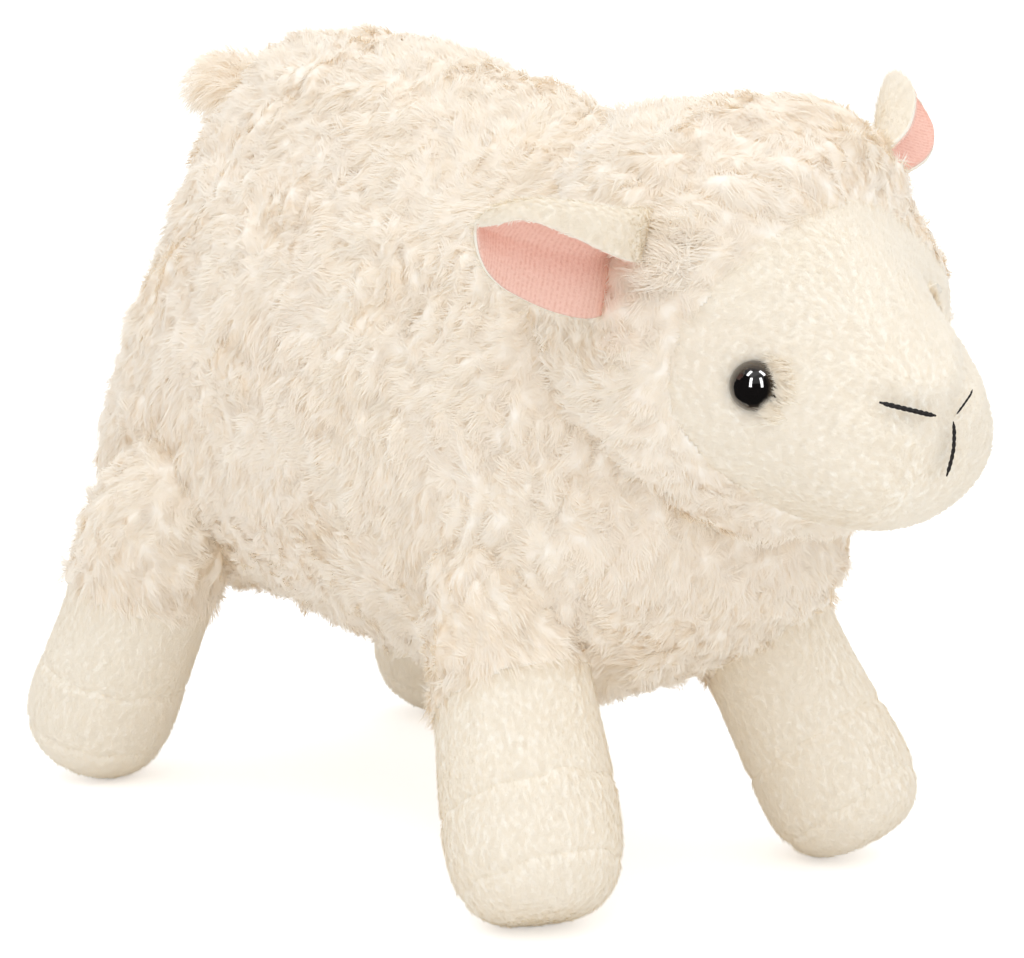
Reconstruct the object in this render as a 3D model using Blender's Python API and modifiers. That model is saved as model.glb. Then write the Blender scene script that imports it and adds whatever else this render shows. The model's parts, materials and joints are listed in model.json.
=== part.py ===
"""A plush sheep about 29 cm long: fleece and short plush skins over fibre stuffing.

The sheep stands on four feet, faces -Y and has its right side towards -X.
All sizes are in metres. The finished toy stands on z = 0, with the middle of its
outline box over the origin. Each skin is a shell, and the stuffing is a solid in it.
"""

import math

import bmesh
import bpy
from mathutils import Euler, Matrix, Vector
from mathutils.bvhtree import BVHTree

# Fabric and clearances
SEAM_GAP = 0.0003
PLUSH_THICKNESS = 0.003
HOOD_RISE = 0.0065
SLEEVE_RISE = 0.003
FLEECE_THICKNESS = 0.008
FLOOR_PRESS = 0.0005
CUTTER_OVERRUN = 0.030
MERGE_DISTANCE = 0.00003
SHARP_ANGLE = math.radians(40.0)

# Body: a loft from the rump to the chest
BODY_LENGTH = 0.234
BODY_WIDTH = 0.124
BODY_HEIGHT = 0.166
BELLY_HEIGHT = 0.043
RUMP_Y = 0.134
BODY_SIDES = 12
# how much narrower the flanks are towards the back than towards the belly
BODY_PEAR_SHARE = 0.27
# how far the back of the rump stands in front of its haunches
RUMP_LEAN = 0.036
# along from rump to chest, half width, top and bottom above the belly
BODY_SHARES = (
    (0.00, 0.28, 0.62, 0.24),
    (0.04, 0.60, 0.84, 0.12),
    (0.12, 0.85, 0.97, 0.04),
    (0.24, 0.98, 1.00, 0.01),
    (0.42, 1.00, 1.00, 0.00),
    (0.60, 0.97, 0.94, 0.00),
    (0.76, 0.93, 0.88, -0.01),
    (0.88, 0.81, 0.76, 0.03),
    (0.97, 0.54, 0.58, 0.14),
    (1.00, 0.26, 0.46, 0.24),
)

# Head: a loft from the nape to the nose, in its own tilted frame
HEAD_LENGTH = 0.110
HEAD_WIDTH = 0.090
HEAD_HEIGHT = 0.092
HEAD_BACK = 0.044
# across, along from the rump and height above the belly, of half the body's width, length, height
HEAD_CENTRE_SHARES = (0.097, 0.949, 0.627)
HEAD_PITCH = math.radians(3.0)
HEAD_ROLL = math.radians(-10.0)
HEAD_YAW = math.radians(7.0)
HEAD_SIDES = 12
# how much narrower the face is at its bridge than at its cheeks, from the crown to the nose
HEAD_PEAR_SHARE = 0.36
# along from nape to nose, half width, top and bottom from the head's axis as shares of half height
HEAD_SHARES = (
    (0.00, 0.36, 0.50, -0.42),
    (0.05, 0.66, 0.80, -0.66),
    (0.20, 0.92, 1.02, -0.84),
    (0.39, 1.03, 1.07, -0.92),
    (0.57, 0.94, 0.94, -0.96),
    (0.72, 0.73, 0.66, -0.98),
    (0.85, 0.66, 0.32, -0.96),
    (0.94, 0.56, 0.06, -0.91),
    (1.00, 0.35, -0.12, -0.74),
)
# face seam in side view: where it crosses the crown and chin, and how far back the cheeks take it
FACE_SEAM_FORWARD = 0.042
FACE_SEAM_SWEEP = 0.028
FACE_SEAM_STEPS = 10

# Legs: lofts from the sole to the hip, each in a frame at the middle of its foot
LEG_LENGTH = 0.104
LEG_WIDTH = 0.044
FOOT_CENTRE_HEIGHT = 0.020
LEG_SIDES = 7
SOLE_HEIGHT = 0.011
TOE_HEIGHT = 0.031
STOCKING_HEIGHT = 0.060
SEAM_TILT = math.radians(12.0)
# along from sole to hip, radius
LEG_SHARES = (
    (0.00, 0.42),
    (0.04, 0.82),
    (0.14, 1.02),
    (0.30, 0.96),
    (0.56, 0.92),
    (0.80, 0.90),
    (0.94, 0.70),
    (1.00, 0.36),
)
# name, foot across and along from the rump, lean forward and splay outward of each leg
LEG_PLACE_SHARES = (
    ("front_right", -0.798, 0.902, math.radians(22.0), math.radians(-8.0)),
    ("front_left", 0.798, 0.902, math.radians(22.0), math.radians(16.0)),
    ("rear_right", -0.952, 0.128, math.radians(-26.0), math.radians(-6.0)),
    ("rear_left", 0.952, 0.128, math.radians(-26.0), math.radians(6.0)),
)

# Eyes: moulded domes whose stems pass through the face into lock washers
EYE_SIZE = 0.012
EYE_DOME = 0.0052
EYE_FLANGE = 0.0012
EYE_STEM = 0.0040
EYE_STEM_LENGTH = 0.010
EYE_FIT = 0.0003
EYE_SINK = 0.0012
# across, forward and up from the head's middle
EYE_AIM_SHARES = (0.667, -0.291, -0.022)
WASHER_SIZE = 0.014
WASHER_THICKNESS = 0.0016
ROUND_STEPS = 16

# Mouth: three satin-stitched threads that lie on the face
THREAD_SIZE = 0.0014
THREAD_SIDES = 2
THREAD_LIFT = 0.0004
MOUTH_DROP = 0.0125
MOUTH_REACH = 0.0178
MOUTH_RISE = 0.0078
PHILTRUM_LENGTH = 0.0125
PHILTRUM_LEAN = -0.003
MOUTH_STEPS = 6

# Ears: leaf-shaped backs with a knit lining, hinged on a round root
LEAF_SIDES = 6
EAR_LENGTH = 0.040
EAR_WIDTH = 0.027
EAR_THICKNESS = 0.0050
EAR_CUP = 0.006
LINING_THICKNESS = 0.0012
LINING_START_SHARE = 0.16
LINING_END_SHARE = 0.93
LINING_WIDTH_SHARE = 0.88
LINING_GAP = 0.0007
ROOT_CLEARANCE = 0.0005
EAR_ROOT_RISE = 0.0022
# how far along the ear its hollow reaches full depth
EAR_CUP_SHARE = 0.5
# across, forward and up from the head's middle
EAR_AIM_SHARES = (0.889, -0.064, 0.522)
# along from root to tip, half width, half thickness
EAR_SHARES = (
    (-0.060, 0.54, 0.40),
    (0.000, 0.62, 1.00),
    (0.140, 0.74, 0.70),
    (0.360, 0.96, 0.58),
    (0.600, 1.00, 0.54),
    (0.850, 0.74, 0.46),
    (1.000, 0.26, 0.30),
)
# sweep back, lift, twist at the root and curl to the tip of each ear, which lie differently
EAR_RIGHT_TURN = (math.radians(19.0), math.radians(19.0), math.radians(65.0), 0.0)
EAR_LEFT_TURN = (math.radians(39.0), math.radians(14.0), math.radians(86.0), math.radians(-45.0))

# Tail: a short lobe hinged on a round root
TAIL_LENGTH = 0.027
TAIL_WIDTH = 0.024
TAIL_THICKNESS = 0.015
TAIL_HEIGHT_SHARE = 0.88
TAIL_ROOT_RISE = 0.0024
TAIL_LIFT = math.radians(12.0)
# along from root to tip, half width, half thickness
TAIL_SHARES = (
    (-0.175, 0.54, 0.36),
    (0.000, 0.66, 0.62),
    (0.260, 0.88, 0.84),
    (0.640, 1.00, 1.00),
    (1.000, 0.46, 0.46),
)

# Finishes: colour and roughness
FLEECE = ((0.93, 0.87, 0.80), 0.95)
PLUSH = ((0.96, 0.93, 0.86), 0.85)
KNIT = ((0.87, 0.60, 0.54), 0.90)
FIBRE = ((0.95, 0.95, 0.93), 1.00)
GLOSS_BLACK = ((0.010, 0.009, 0.008), 0.08)
WHITE_PLASTIC = ((0.80, 0.80, 0.78), 0.45)
BLACK_THREAD = ((0.015, 0.013, 0.012), 0.60)

SIDES = (("right", -1.0), ("left", 1.0))


def clear_scene():
    for old in list(bpy.data.objects):
        bpy.data.objects.remove(old, do_unlink=True)


def new_collection(name):
    collection = bpy.data.collections.new(name)
    bpy.context.scene.collection.children.link(collection)
    return collection


def new_frame(name, parent, matrix):
    """An empty that carries other pieces, placed by a matrix in its parent's frame."""
    frame = bpy.data.objects.new(name, None)
    parts.objects.link(frame)
    frame.parent = parent
    frame.matrix_local = matrix
    return frame


def add_part(name, mesh, parent, finish):
    """A visible piece with its own material."""
    colour, roughness = finish
    material = bpy.data.materials.new(name)
    material.use_nodes = True
    shader = material.node_tree.nodes["Principled BSDF"]
    shader.inputs["Base Color"].default_value = (*colour, 1.0)
    shader.inputs["Roughness"].default_value = roughness
    part = bpy.data.objects.new(name, mesh.copy())
    part.data.name = name
    part.data.materials.append(material)
    part.parent = parent
    parts.objects.link(part)
    return part


def add_cutter(name, mesh, parent):
    """A shape that only cuts others."""
    cutter = bpy.data.objects.new(name, mesh)
    cutter.parent = parent
    cutter.hide_render = True
    cutter.display_type = "WIRE"
    cutters.objects.link(cutter)
    return cutter


def oval(half_width, top, bottom, sides, pear=0.0):
    """An oval of points, swelled so that smoothing brings it back to its size."""
    swell = 6.0 / (4.0 + 2.0 * math.cos(math.tau / sides))
    middle = (top + bottom) / 2.0
    half_height = (top - bottom) / 2.0
    points = []
    for index in range(sides):
        angle = math.tau * index / sides
        narrowing = 1.0 - pear * math.sin(angle)
        across = half_width * swell * math.cos(angle) * narrowing
        up = middle + half_height * swell * math.sin(angle)
        points.append((across, up))
    return points


def loft_mesh(name, rings):
    """A closed cage through rings of points, with a flat cap on each end."""
    mesh = bpy.data.meshes.new(name)
    cage = bmesh.new()
    rows = [[cage.verts.new(point) for point in ring] for ring in rings]
    for row, after in zip(rows, rows[1:]):
        count = len(row)
        for index in range(count):
            beside = (index + 1) % count
            cage.faces.new((row[index], row[beside], after[beside], after[index]))
    cage.faces.new(rows[0])
    cage.faces.new(rows[-1])
    bmesh.ops.recalc_face_normals(cage, faces=cage.faces)
    cage.to_mesh(mesh)
    cage.free()
    mesh.shade_smooth()
    return mesh


def soften(obj, levels=1):
    modifier = obj.modifiers.new("soften", "SUBSURF")
    modifier.levels = levels
    modifier.render_levels = levels


def offset(obj, distance):
    """Moves the whole surface out by a distance, or in where it is negative."""
    modifier = obj.modifiers.new("offset", "DISPLACE")
    modifier.strength = distance
    modifier.mid_level = 0.0


def thicken(obj, inside, outside=0.0):
    """Makes a shell that reaches this far inside and outside of the surface."""
    modifier = obj.modifiers.new("wall", "SOLIDIFY")
    modifier.thickness = inside + outside
    modifier.offset = (outside - inside) / (outside + inside)


def cut(obj, cutter, operation="DIFFERENCE"):
    modifier = obj.modifiers.new(cutter.name, "BOOLEAN")
    modifier.operation = operation
    modifier.solver = "EXACT"
    modifier.object = cutter


def surface_of(obj):
    """A search tree over the finished surface, in the object's own frame."""
    graph = bpy.context.evaluated_depsgraph_get()
    graph.update()
    return BVHTree.FromObject(obj, graph)


def point_on(tree, start, towards):
    """Where a line from a start point leaves a surface, and the outward normal there."""
    hit, normal, _, _ = tree.ray_cast(start, towards.normalized())
    if normal.dot(towards) < 0.0:
        normal.negate()
    return hit, normal


def turned_mesh(name, profile, guide_parent):
    """A solid of revolution about Z from a profile that runs down its outer side."""
    outline = bpy.data.meshes.new(name + "_profile")
    edges = [(index, index + 1) for index in range(len(profile) - 1)]
    outline.from_pydata([(radius, 0.0, height) for radius, height in profile], edges, [])
    turned = bpy.data.objects.new(name + "_profile", outline)
    cutters.objects.link(turned)
    turned.parent = guide_parent
    screw = turned.modifiers.new("turn", "SCREW")
    screw.steps = ROUND_STEPS
    screw.render_steps = ROUND_STEPS
    screw.use_merge_vertices = True
    screw.merge_threshold = MERGE_DISTANCE
    graph = bpy.context.evaluated_depsgraph_get()
    mesh = bpy.data.meshes.new_from_object(turned.evaluated_get(graph))
    mesh.name = name
    bpy.data.objects.remove(turned, do_unlink=True)
    bm = bmesh.new()
    bm.from_mesh(mesh)
    bmesh.ops.remove_doubles(bm, verts=bm.verts, dist=MERGE_DISTANCE)
    bmesh.ops.recalc_face_normals(bm, faces=bm.faces)
    bm.to_mesh(mesh)
    bm.free()
    mesh.shade_smooth()
    mesh.set_sharp_from_angle(angle=SHARP_ANGLE)
    return mesh


def box_mesh(name, low, high):
    """A box between two corners."""
    mesh = bpy.data.meshes.new(name)
    bm = bmesh.new()
    bmesh.ops.create_cube(bm, size=1.0)
    size = high - low
    middle = (high + low) / 2.0
    place = Matrix.Translation(middle) @ Matrix.Diagonal((*size, 1.0))
    bmesh.ops.transform(bm, matrix=place, verts=bm.verts)
    bm.to_mesh(mesh)
    bm.free()
    return mesh


def body_point(across, along, height):
    """A place given as shares of the body's half width, its length from the rump, and its height."""
    y = RUMP_Y - along * BODY_LENGTH
    return Vector((across * BODY_WIDTH / 2.0, y, BELLY_HEIGHT + height * BODY_HEIGHT))


def head_point(across, forward, up):
    """A place given as shares of the head's half width, length and half height from its middle."""
    return Vector((across * HEAD_WIDTH / 2.0, forward * HEAD_LENGTH, up * HEAD_HEIGHT / 2.0))


def body_mesh():
    """The body's form, whose rump leans forward towards the back."""
    centre_z = BELLY_HEIGHT + BODY_HEIGHT / 2.0
    rings = []
    for along, width, top, bottom in BODY_SHARES:
        upper = body_point(width, along, top)
        lower = body_point(width, along, bottom)
        section = oval(upper.x, upper.z, lower.z, BODY_SIDES, BODY_PEAR_SHARE)
        slope = RUMP_LEAN * (1.0 - along) / BODY_HEIGHT
        rings.append([(x, upper.y - slope * (z - centre_z), z) for x, z in section])
    return loft_mesh("body_form", rings)


def head_mesh():
    rings = []
    for along, width, top, bottom in HEAD_SHARES:
        y = HEAD_BACK - along * HEAD_LENGTH
        half_height = HEAD_HEIGHT / 2.0
        pear = HEAD_PEAR_SHARE * along
        section = oval(width * HEAD_WIDTH / 2.0, top * half_height, bottom * half_height, HEAD_SIDES, pear)
        rings.append([(x, y, z) for x, z in section])
    return loft_mesh("head_form", rings)


def leg_mesh():
    rings = []
    for along, radius in LEG_SHARES:
        z = along * LEG_LENGTH - FOOT_CENTRE_HEIGHT
        reach = radius * LEG_WIDTH / 2.0
        section = oval(reach, reach, -reach, LEG_SIDES)
        rings.append([(x, y, z) for x, y in section])
    return loft_mesh("leg_form", rings)


def leaf_mesh(name, shares, length, half_width, half_thickness, cup=0.0, drop=0.0, curl=0.0):
    """A leaf along X whose edges cup towards -Z, turned about X by the curl at its tip."""
    rings = []
    for along, width, thickness in shares:
        reach = thickness * half_thickness
        section = oval(width * half_width, reach, -reach, LEAF_SIDES)
        bend = cup * min(1.0, max(0.0, along) / EAR_CUP_SHARE)
        turn = Matrix.Rotation(curl * max(0.0, along), 3, "X")
        ring = []
        for y, z in section:
            hollow = drop + bend * (y / half_width) ** 2
            ring.append(turn @ Vector((along * length, y, z - hollow)))
        rings.append(ring)
    return loft_mesh(name, rings)


def seam_mesh(name, shift):
    """The region in front of the face seam, which is an arc in side view, as a solid."""
    half_height = HEAD_HEIGHT / 2.0
    front = -HEAD_LENGTH
    points = [(front, -HEAD_HEIGHT), (front, HEAD_HEIGHT), (-FACE_SEAM_FORWARD - shift, HEAD_HEIGHT)]
    for step in range(FACE_SEAM_STEPS + 1):
        share = 1.0 - 2.0 * step / FACE_SEAM_STEPS
        sweep = FACE_SEAM_SWEEP * math.cos(share * math.pi / 2.0)
        points.append((sweep - FACE_SEAM_FORWARD - shift, share * half_height))
    points.append((-FACE_SEAM_FORWARD - shift, -HEAD_HEIGHT))
    outline = bpy.data.curves.new(name, "CURVE")
    outline.dimensions = "2D"
    outline.fill_mode = "BOTH"
    outline.extrude = HEAD_WIDTH
    spline = outline.splines.new("POLY")
    spline.points.add(len(points) - 1)
    for point, (y, z) in zip(spline.points, points):
        point.co = (y, z, 0.0, 1.0)
    spline.use_cyclic_u = True
    mesh = solid_of_curve(name, outline)
    upright = Matrix(((0.0, 0.0, 1.0, 0.0), (1.0, 0.0, 0.0, 0.0), (0.0, 1.0, 0.0, 0.0), (0.0, 0.0, 0.0, 1.0)))
    mesh.transform(upright)
    return mesh


def solid_of_curve(name, curve):
    """A closed mesh from a curve with filled ends."""
    holder = bpy.data.objects.new(name, curve)
    cutters.objects.link(holder)
    graph = bpy.context.evaluated_depsgraph_get()
    graph.update()
    mesh = bpy.data.meshes.new_from_object(holder.evaluated_get(graph))
    bpy.data.objects.remove(holder, do_unlink=True)
    bm = bmesh.new()
    bm.from_mesh(mesh)
    bmesh.ops.remove_doubles(bm, verts=bm.verts, dist=MERGE_DISTANCE)
    bmesh.ops.recalc_face_normals(bm, faces=bm.faces)
    bm.to_mesh(mesh)
    bm.free()
    return mesh


def lie_along(direction, up):
    """A rotation whose X follows a direction and whose Z leans towards up."""
    x_axis = direction.normalized()
    y_axis = up.cross(x_axis).normalized()
    z_axis = x_axis.cross(y_axis)
    return Matrix((x_axis, y_axis, z_axis)).transposed().to_4x4()


def make_body(root):
    form = body_mesh()
    skin = add_part("body_skin", form, root, FLEECE)
    soften(skin)
    tree = surface_of(skin)
    thicken(skin, FLEECE_THICKNESS)
    stuffing = add_part("body_stuffing", form, root, FIBRE)
    soften(stuffing)
    offset(stuffing, -FLEECE_THICKNESS - SEAM_GAP)
    outside = add_cutter("body_outside", form, root)
    soften(outside)
    offset(outside, SEAM_GAP)
    core = add_cutter("body_core", form, root)
    soften(core)
    offset(core, -FLEECE_THICKNESS)
    return {"skin": skin, "tree": tree, "outside": outside, "core": core}


def make_head(root, body):
    """The head's plush face, fleece hood and stuffing, cut where the body comes into it."""
    turn = Euler((HEAD_PITCH, HEAD_ROLL, HEAD_YAW), "YXZ").to_matrix().to_4x4()
    centre = body_point(*HEAD_CENTRE_SHARES)
    frame = new_frame("head_frame", root, Matrix.Translation(centre) @ turn)
    form = head_mesh()
    face = add_part("face", form, frame, PLUSH)
    soften(face)
    tree = surface_of(face)
    thicken(face, PLUSH_THICKNESS)
    cut(face, add_cutter("face_side", seam_mesh("face_side", 0.0), frame), "INTERSECT")
    cut(face, body["outside"])
    hood = add_part("hood", form, frame, FLEECE)
    soften(hood)
    thicken(hood, PLUSH_THICKNESS, HOOD_RISE)
    cut(hood, add_cutter("hood_side", seam_mesh("hood_side", -SEAM_GAP), frame))
    cut(hood, body["outside"])
    stuffing = add_part("head_stuffing", form, frame, FIBRE)
    soften(stuffing)
    offset(stuffing, -PLUSH_THICKNESS - SEAM_GAP)
    cut(stuffing, body["core"])
    core = add_cutter("head_core", form, frame)
    soften(core)
    offset(core, -PLUSH_THICKNESS)
    cut(body["skin"], core)
    return {"frame": frame, "tree": tree, "face": face, "hood": hood, "stuffing": stuffing}


def make_leg(name, across, along, lean, splay, root, body):
    """One leg: fleece sleeve, stocking, toe cap, sole and the stuffing in them."""
    middle = body_point(across, along, 0.0)
    middle.z = FOOT_CENTRE_HEIGHT
    turn = Euler((-lean, -splay, 0.0)).to_matrix().to_4x4()
    frame = new_frame(name + "_frame", root, Matrix.Translation(middle) @ turn)
    form = leg_mesh()
    floor = box_mesh(name + "_floor", Vector((-LEG_LENGTH, -LEG_LENGTH, -LEG_LENGTH)),
                     Vector((LEG_LENGTH, LEG_LENGTH, 0.0)))
    floor_cutter = add_cutter(name + "_floor", floor, root)
    floor_cutter.location = (middle.x, middle.y, 0.0)
    levels = (
        ("sole", -CUTTER_OVERRUN, SOLE_HEIGHT),
        ("toe_cap", SOLE_HEIGHT, TOE_HEIGHT),
        ("stocking", TOE_HEIGHT, STOCKING_HEIGHT),
        ("sleeve", STOCKING_HEIGHT, LEG_LENGTH + CUTTER_OVERRUN),
    )
    for piece, low, high in levels:
        fleece = piece == "sleeve"
        skin = add_part(name + "_" + piece, form, frame, FLEECE if fleece else PLUSH)
        soften(skin)
        if piece == "sole":
            settle(skin, frame)
        thicken(skin, PLUSH_THICKNESS, SLEEVE_RISE if fleece else 0.0)
        half = (high - low) / 2.0 * math.cos(SEAM_TILT) - SEAM_GAP / 2.0
        slab = box_mesh(name + "_" + piece + "_slab", Vector((-LEG_LENGTH, -LEG_LENGTH, -half)),
                        Vector((LEG_LENGTH, LEG_LENGTH, half)))
        slab_cutter = add_cutter(slab.name, slab, frame)
        slab_middle = Matrix.Translation((0.0, 0.0, (low + high) / 2.0 - FOOT_CENTRE_HEIGHT))
        slab_cutter.matrix_local = slab_middle @ Matrix.Rotation(-SEAM_TILT, 4, "X")
        cut(skin, slab_cutter, "INTERSECT")
        cut(skin, floor_cutter if piece == "sole" else body["outside"])
    stuffing = add_part(name + "_stuffing", form, frame, FIBRE)
    soften(stuffing)
    offset(stuffing, -PLUSH_THICKNESS - SEAM_GAP)
    cut(stuffing, body["core"])
    core = add_cutter(name + "_core", form, frame)
    soften(core)
    offset(core, -PLUSH_THICKNESS)
    cut(body["skin"], core)


def settle(sole, frame):
    """Lowers a leg until its sole presses this far into the floor."""
    graph = bpy.context.evaluated_depsgraph_get()
    graph.update()
    rounded = sole.evaluated_get(graph)
    lowest = min((rounded.matrix_world @ vertex.co).z for vertex in rounded.data.vertices)
    frame.location.z -= lowest + FLOOR_PRESS


def make_eye(name, side, head):
    """A moulded eye, its lock washer inside the head, and the pocket for both."""
    across, forward, up = EYE_AIM_SHARES
    aim = head_point(side * across, forward, up)
    middle = Vector((0.0, aim.y / 2.0, 0.0))
    spot, normal = point_on(head["tree"], middle, aim - middle)
    turn = normal.to_track_quat("Z", "Y").to_matrix().to_4x4()
    seat = spot - normal * EYE_SINK
    frame = new_frame("eye_" + name + "_frame", head["frame"], Matrix.Translation(seat) @ turn)
    dome = [(0.0, EYE_DOME)]
    for step in range(1, ROUND_STEPS // 2 + 1):
        angle = math.pi * step / ROUND_STEPS
        rise = (EYE_DOME - EYE_FLANGE) * math.cos(angle)
        dome.append((EYE_SIZE / 2.0 * math.sin(angle), EYE_FLANGE + rise))
    stem = [(EYE_SIZE / 2.0, 0.0), (EYE_STEM / 2.0, 0.0), (EYE_STEM / 2.0, -EYE_STEM_LENGTH),
            (0.0, -EYE_STEM_LENGTH)]
    add_part("eye_" + name, turned_mesh("eye_" + name, dome + stem, frame), frame, GLOSS_BLACK)
    washer_top = EYE_SINK - PLUSH_THICKNESS - EYE_FIT
    washer_bottom = washer_top - WASHER_THICKNESS
    bore = EYE_STEM / 2.0 + EYE_FIT
    ring = [(bore, washer_top), (WASHER_SIZE / 2.0, washer_top), (WASHER_SIZE / 2.0, washer_bottom),
            (bore, washer_bottom), (bore, washer_top)]
    add_part("washer_" + name, turned_mesh("washer_" + name, ring, frame), frame, WHITE_PLASTIC)
    pocket = [
        (0.0, EYE_DOME),
        (EYE_SIZE / 2.0 + EYE_FIT, EYE_DOME),
        (EYE_SIZE / 2.0 + EYE_FIT, -EYE_FIT),
        (bore, -EYE_FIT),
        (bore, washer_top + EYE_FIT),
        (WASHER_SIZE / 2.0 + EYE_FIT, washer_top + EYE_FIT),
        (WASHER_SIZE / 2.0 + EYE_FIT, washer_bottom - EYE_FIT),
        (bore, washer_bottom - EYE_FIT),
        (bore, -EYE_STEM_LENGTH - EYE_FIT),
        (0.0, -EYE_STEM_LENGTH - EYE_FIT),
    ]
    pocket_name = "eye_" + name + "_pocket"
    pocket_cutter = add_cutter(pocket_name, turned_mesh(pocket_name, pocket, frame), frame)
    cut(head["face"], pocket_cutter)
    cut(head["stuffing"], pocket_cutter)


def stitch(name, places, head):
    """A thread laid on the face through places given across and up from the head's axis."""
    curve = bpy.data.curves.new(name, "CURVE")
    curve.dimensions = "3D"
    curve.bevel_depth = THREAD_SIZE / 2.0
    curve.bevel_resolution = THREAD_SIDES
    curve.use_fill_caps = True
    spline = curve.splines.new("POLY")
    spline.points.add(len(places) - 1)
    for point, (across, up) in zip(spline.points, places):
        start = Vector((across / 2.0, 0.0, up))
        forward = Vector((across / 2.0, -HEAD_LENGTH / 2.0, 0.0))
        spot, normal = point_on(head["tree"], start, forward)
        spot = spot + normal * (THREAD_SIZE / 2.0 + THREAD_LIFT)
        point.co = (*spot, 1.0)
    add_part(name, solid_of_curve(name, curve), head["frame"], BLACK_THREAD)


def make_mouth(head):
    for name, side in SIDES:
        places = []
        for step in range(MOUTH_STEPS + 1):
            share = step / MOUTH_STEPS
            across = side * (THREAD_SIZE + share * (MOUTH_REACH - THREAD_SIZE))
            places.append((across, share * MOUTH_RISE - MOUTH_DROP))
        stitch("mouth_" + name, places, head)
    places = []
    for step in range(MOUTH_STEPS + 1):
        share = step / MOUTH_STEPS
        below = THREAD_SIZE + share * PHILTRUM_LENGTH
        places.append((share * share * PHILTRUM_LEAN, -MOUTH_DROP - below))
    stitch("philtrum", places, head)


def root_seat(name, half_width, radius, frame, neighbour):
    """A round groove in a neighbour for a hinged root along the frame's Y axis."""
    end = half_width + ROOT_CLEARANCE
    profile = [(0.0, end), (radius + ROOT_CLEARANCE, end), (radius + ROOT_CLEARANCE, -end), (0.0, -end)]
    groove = turned_mesh(name, profile, frame)
    groove.transform(Matrix.Rotation(math.pi / 2.0, 4, "X"))
    cut(neighbour, add_cutter(name, groove, frame))


def make_ear(name, side, turn, head):
    """An ear on its hinge: a plush back, and a knit lining on the hollow side."""
    sweep, lift, twist, curl = turn
    across, forward, up = EAR_AIM_SHARES
    aim = head_point(side * across, forward, up)
    start = Vector((0.0, aim.y, 0.0))
    spot, normal = point_on(head["tree"], start, aim - start)
    level = math.cos(lift)
    direction = Vector((side * level * math.cos(sweep), level * math.sin(sweep), math.sin(lift)))
    lie = lie_along(direction, Vector((0.0, 0.0, 1.0))) @ Matrix.Rotation(-side * twist, 4, "X")
    hinge = Matrix.Translation(spot + normal * (HOOD_RISE + EAR_ROOT_RISE))
    frame = new_frame("ear_" + name + "_hinge", head["frame"], hinge @ lie)
    half_width = EAR_WIDTH / 2.0
    half_thickness = EAR_THICKNESS / 2.0
    curl = -side * curl
    leaf = leaf_mesh("ear_back", EAR_SHARES, EAR_LENGTH, half_width, half_thickness, EAR_CUP, 0.0, curl)
    back = add_part("ear_" + name + "_back", leaf, frame, PLUSH)
    soften(back)
    lining_shares = []
    deepest = 0.0
    for along, width, thickness in EAR_SHARES:
        if LINING_START_SHARE < along < LINING_END_SHARE:
            lining_shares.append((along, width * LINING_WIDTH_SHARE, 1.0))
            deepest = max(deepest, thickness)
    drop = deepest * half_thickness + LINING_GAP + LINING_THICKNESS / 2.0
    half_lining = LINING_THICKNESS / 2.0
    knit = leaf_mesh("ear_lining", lining_shares, EAR_LENGTH, half_width, half_lining, EAR_CUP, drop, curl)
    lining = add_part("ear_" + name + "_lining", knit, frame, KNIT)
    soften(lining)
    seat_name = "ear_" + name + "_seat"
    root_seat(seat_name, half_width * EAR_SHARES[1][1], half_thickness, frame, head["hood"])


def make_tail(root, body):
    start = body_point(0.0, 0.5, TAIL_HEIGHT_SHARE)
    spot, normal = point_on(body["tree"], start, Vector((0.0, 1.0, 0.0)))
    direction = Vector((0.0, math.cos(TAIL_LIFT), math.sin(TAIL_LIFT)))
    lie = lie_along(direction, Vector((0.0, 0.0, 1.0)))
    frame = new_frame("tail_hinge", root, Matrix.Translation(spot + normal * TAIL_ROOT_RISE) @ lie)
    half_width = TAIL_WIDTH / 2.0
    half_thickness = TAIL_THICKNESS / 2.0
    lobe = leaf_mesh("tail", TAIL_SHARES, TAIL_LENGTH, half_width, half_thickness)
    tail = add_part("tail", lobe, frame, FLEECE)
    soften(tail)
    root_share = TAIL_SHARES[1]
    root_seat("tail_seat", half_width * root_share[1], half_thickness * root_share[2], frame, body["skin"])


def centre_over_origin(root):
    """Moves the whole toy so that the middle of its outline box is over the origin."""
    graph = bpy.context.evaluated_depsgraph_get()
    graph.update()
    corners = []
    for part in parts.objects:
        if part.type == "MESH":
            finished = part.evaluated_get(graph)
            corners += [finished.matrix_world @ vertex.co for vertex in finished.data.vertices]
    for axis in range(2):
        values = [corner[axis] for corner in corners]
        root.location[axis] -= (max(values) + min(values)) / 2.0
    bpy.context.view_layer.update()


clear_scene()
parts = new_collection("plush_sheep")
cutters = new_collection("cutters")
sheep = new_frame("sheep", None, Matrix.Identity(4))
body_set = make_body(sheep)
head_set = make_head(sheep, body_set)
for leg_name, *leg_pose in LEG_PLACE_SHARES:
    make_leg(leg_name, *leg_pose, sheep, body_set)
for side_name, side_sign in SIDES:
    make_eye(side_name, side_sign, head_set)
make_mouth(head_set)
make_ear("right", -1.0, EAR_RIGHT_TURN, head_set)
make_ear("left", 1.0, EAR_LEFT_TURN, head_set)
make_tail(sheep, body_set)
centre_over_origin(sheep)
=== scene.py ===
"""The looks of a standing plush sheep: long-pile fleece, short plush, knit, thread and gloss eyes.

All sizes are in metres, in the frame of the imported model. The sheep faces -Y, its right side
is towards -X, and it stands on z = 0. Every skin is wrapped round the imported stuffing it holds,
so it stays where the model has it. Pile is real geometry: ribbons that grow from the skins.
"""

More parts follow.
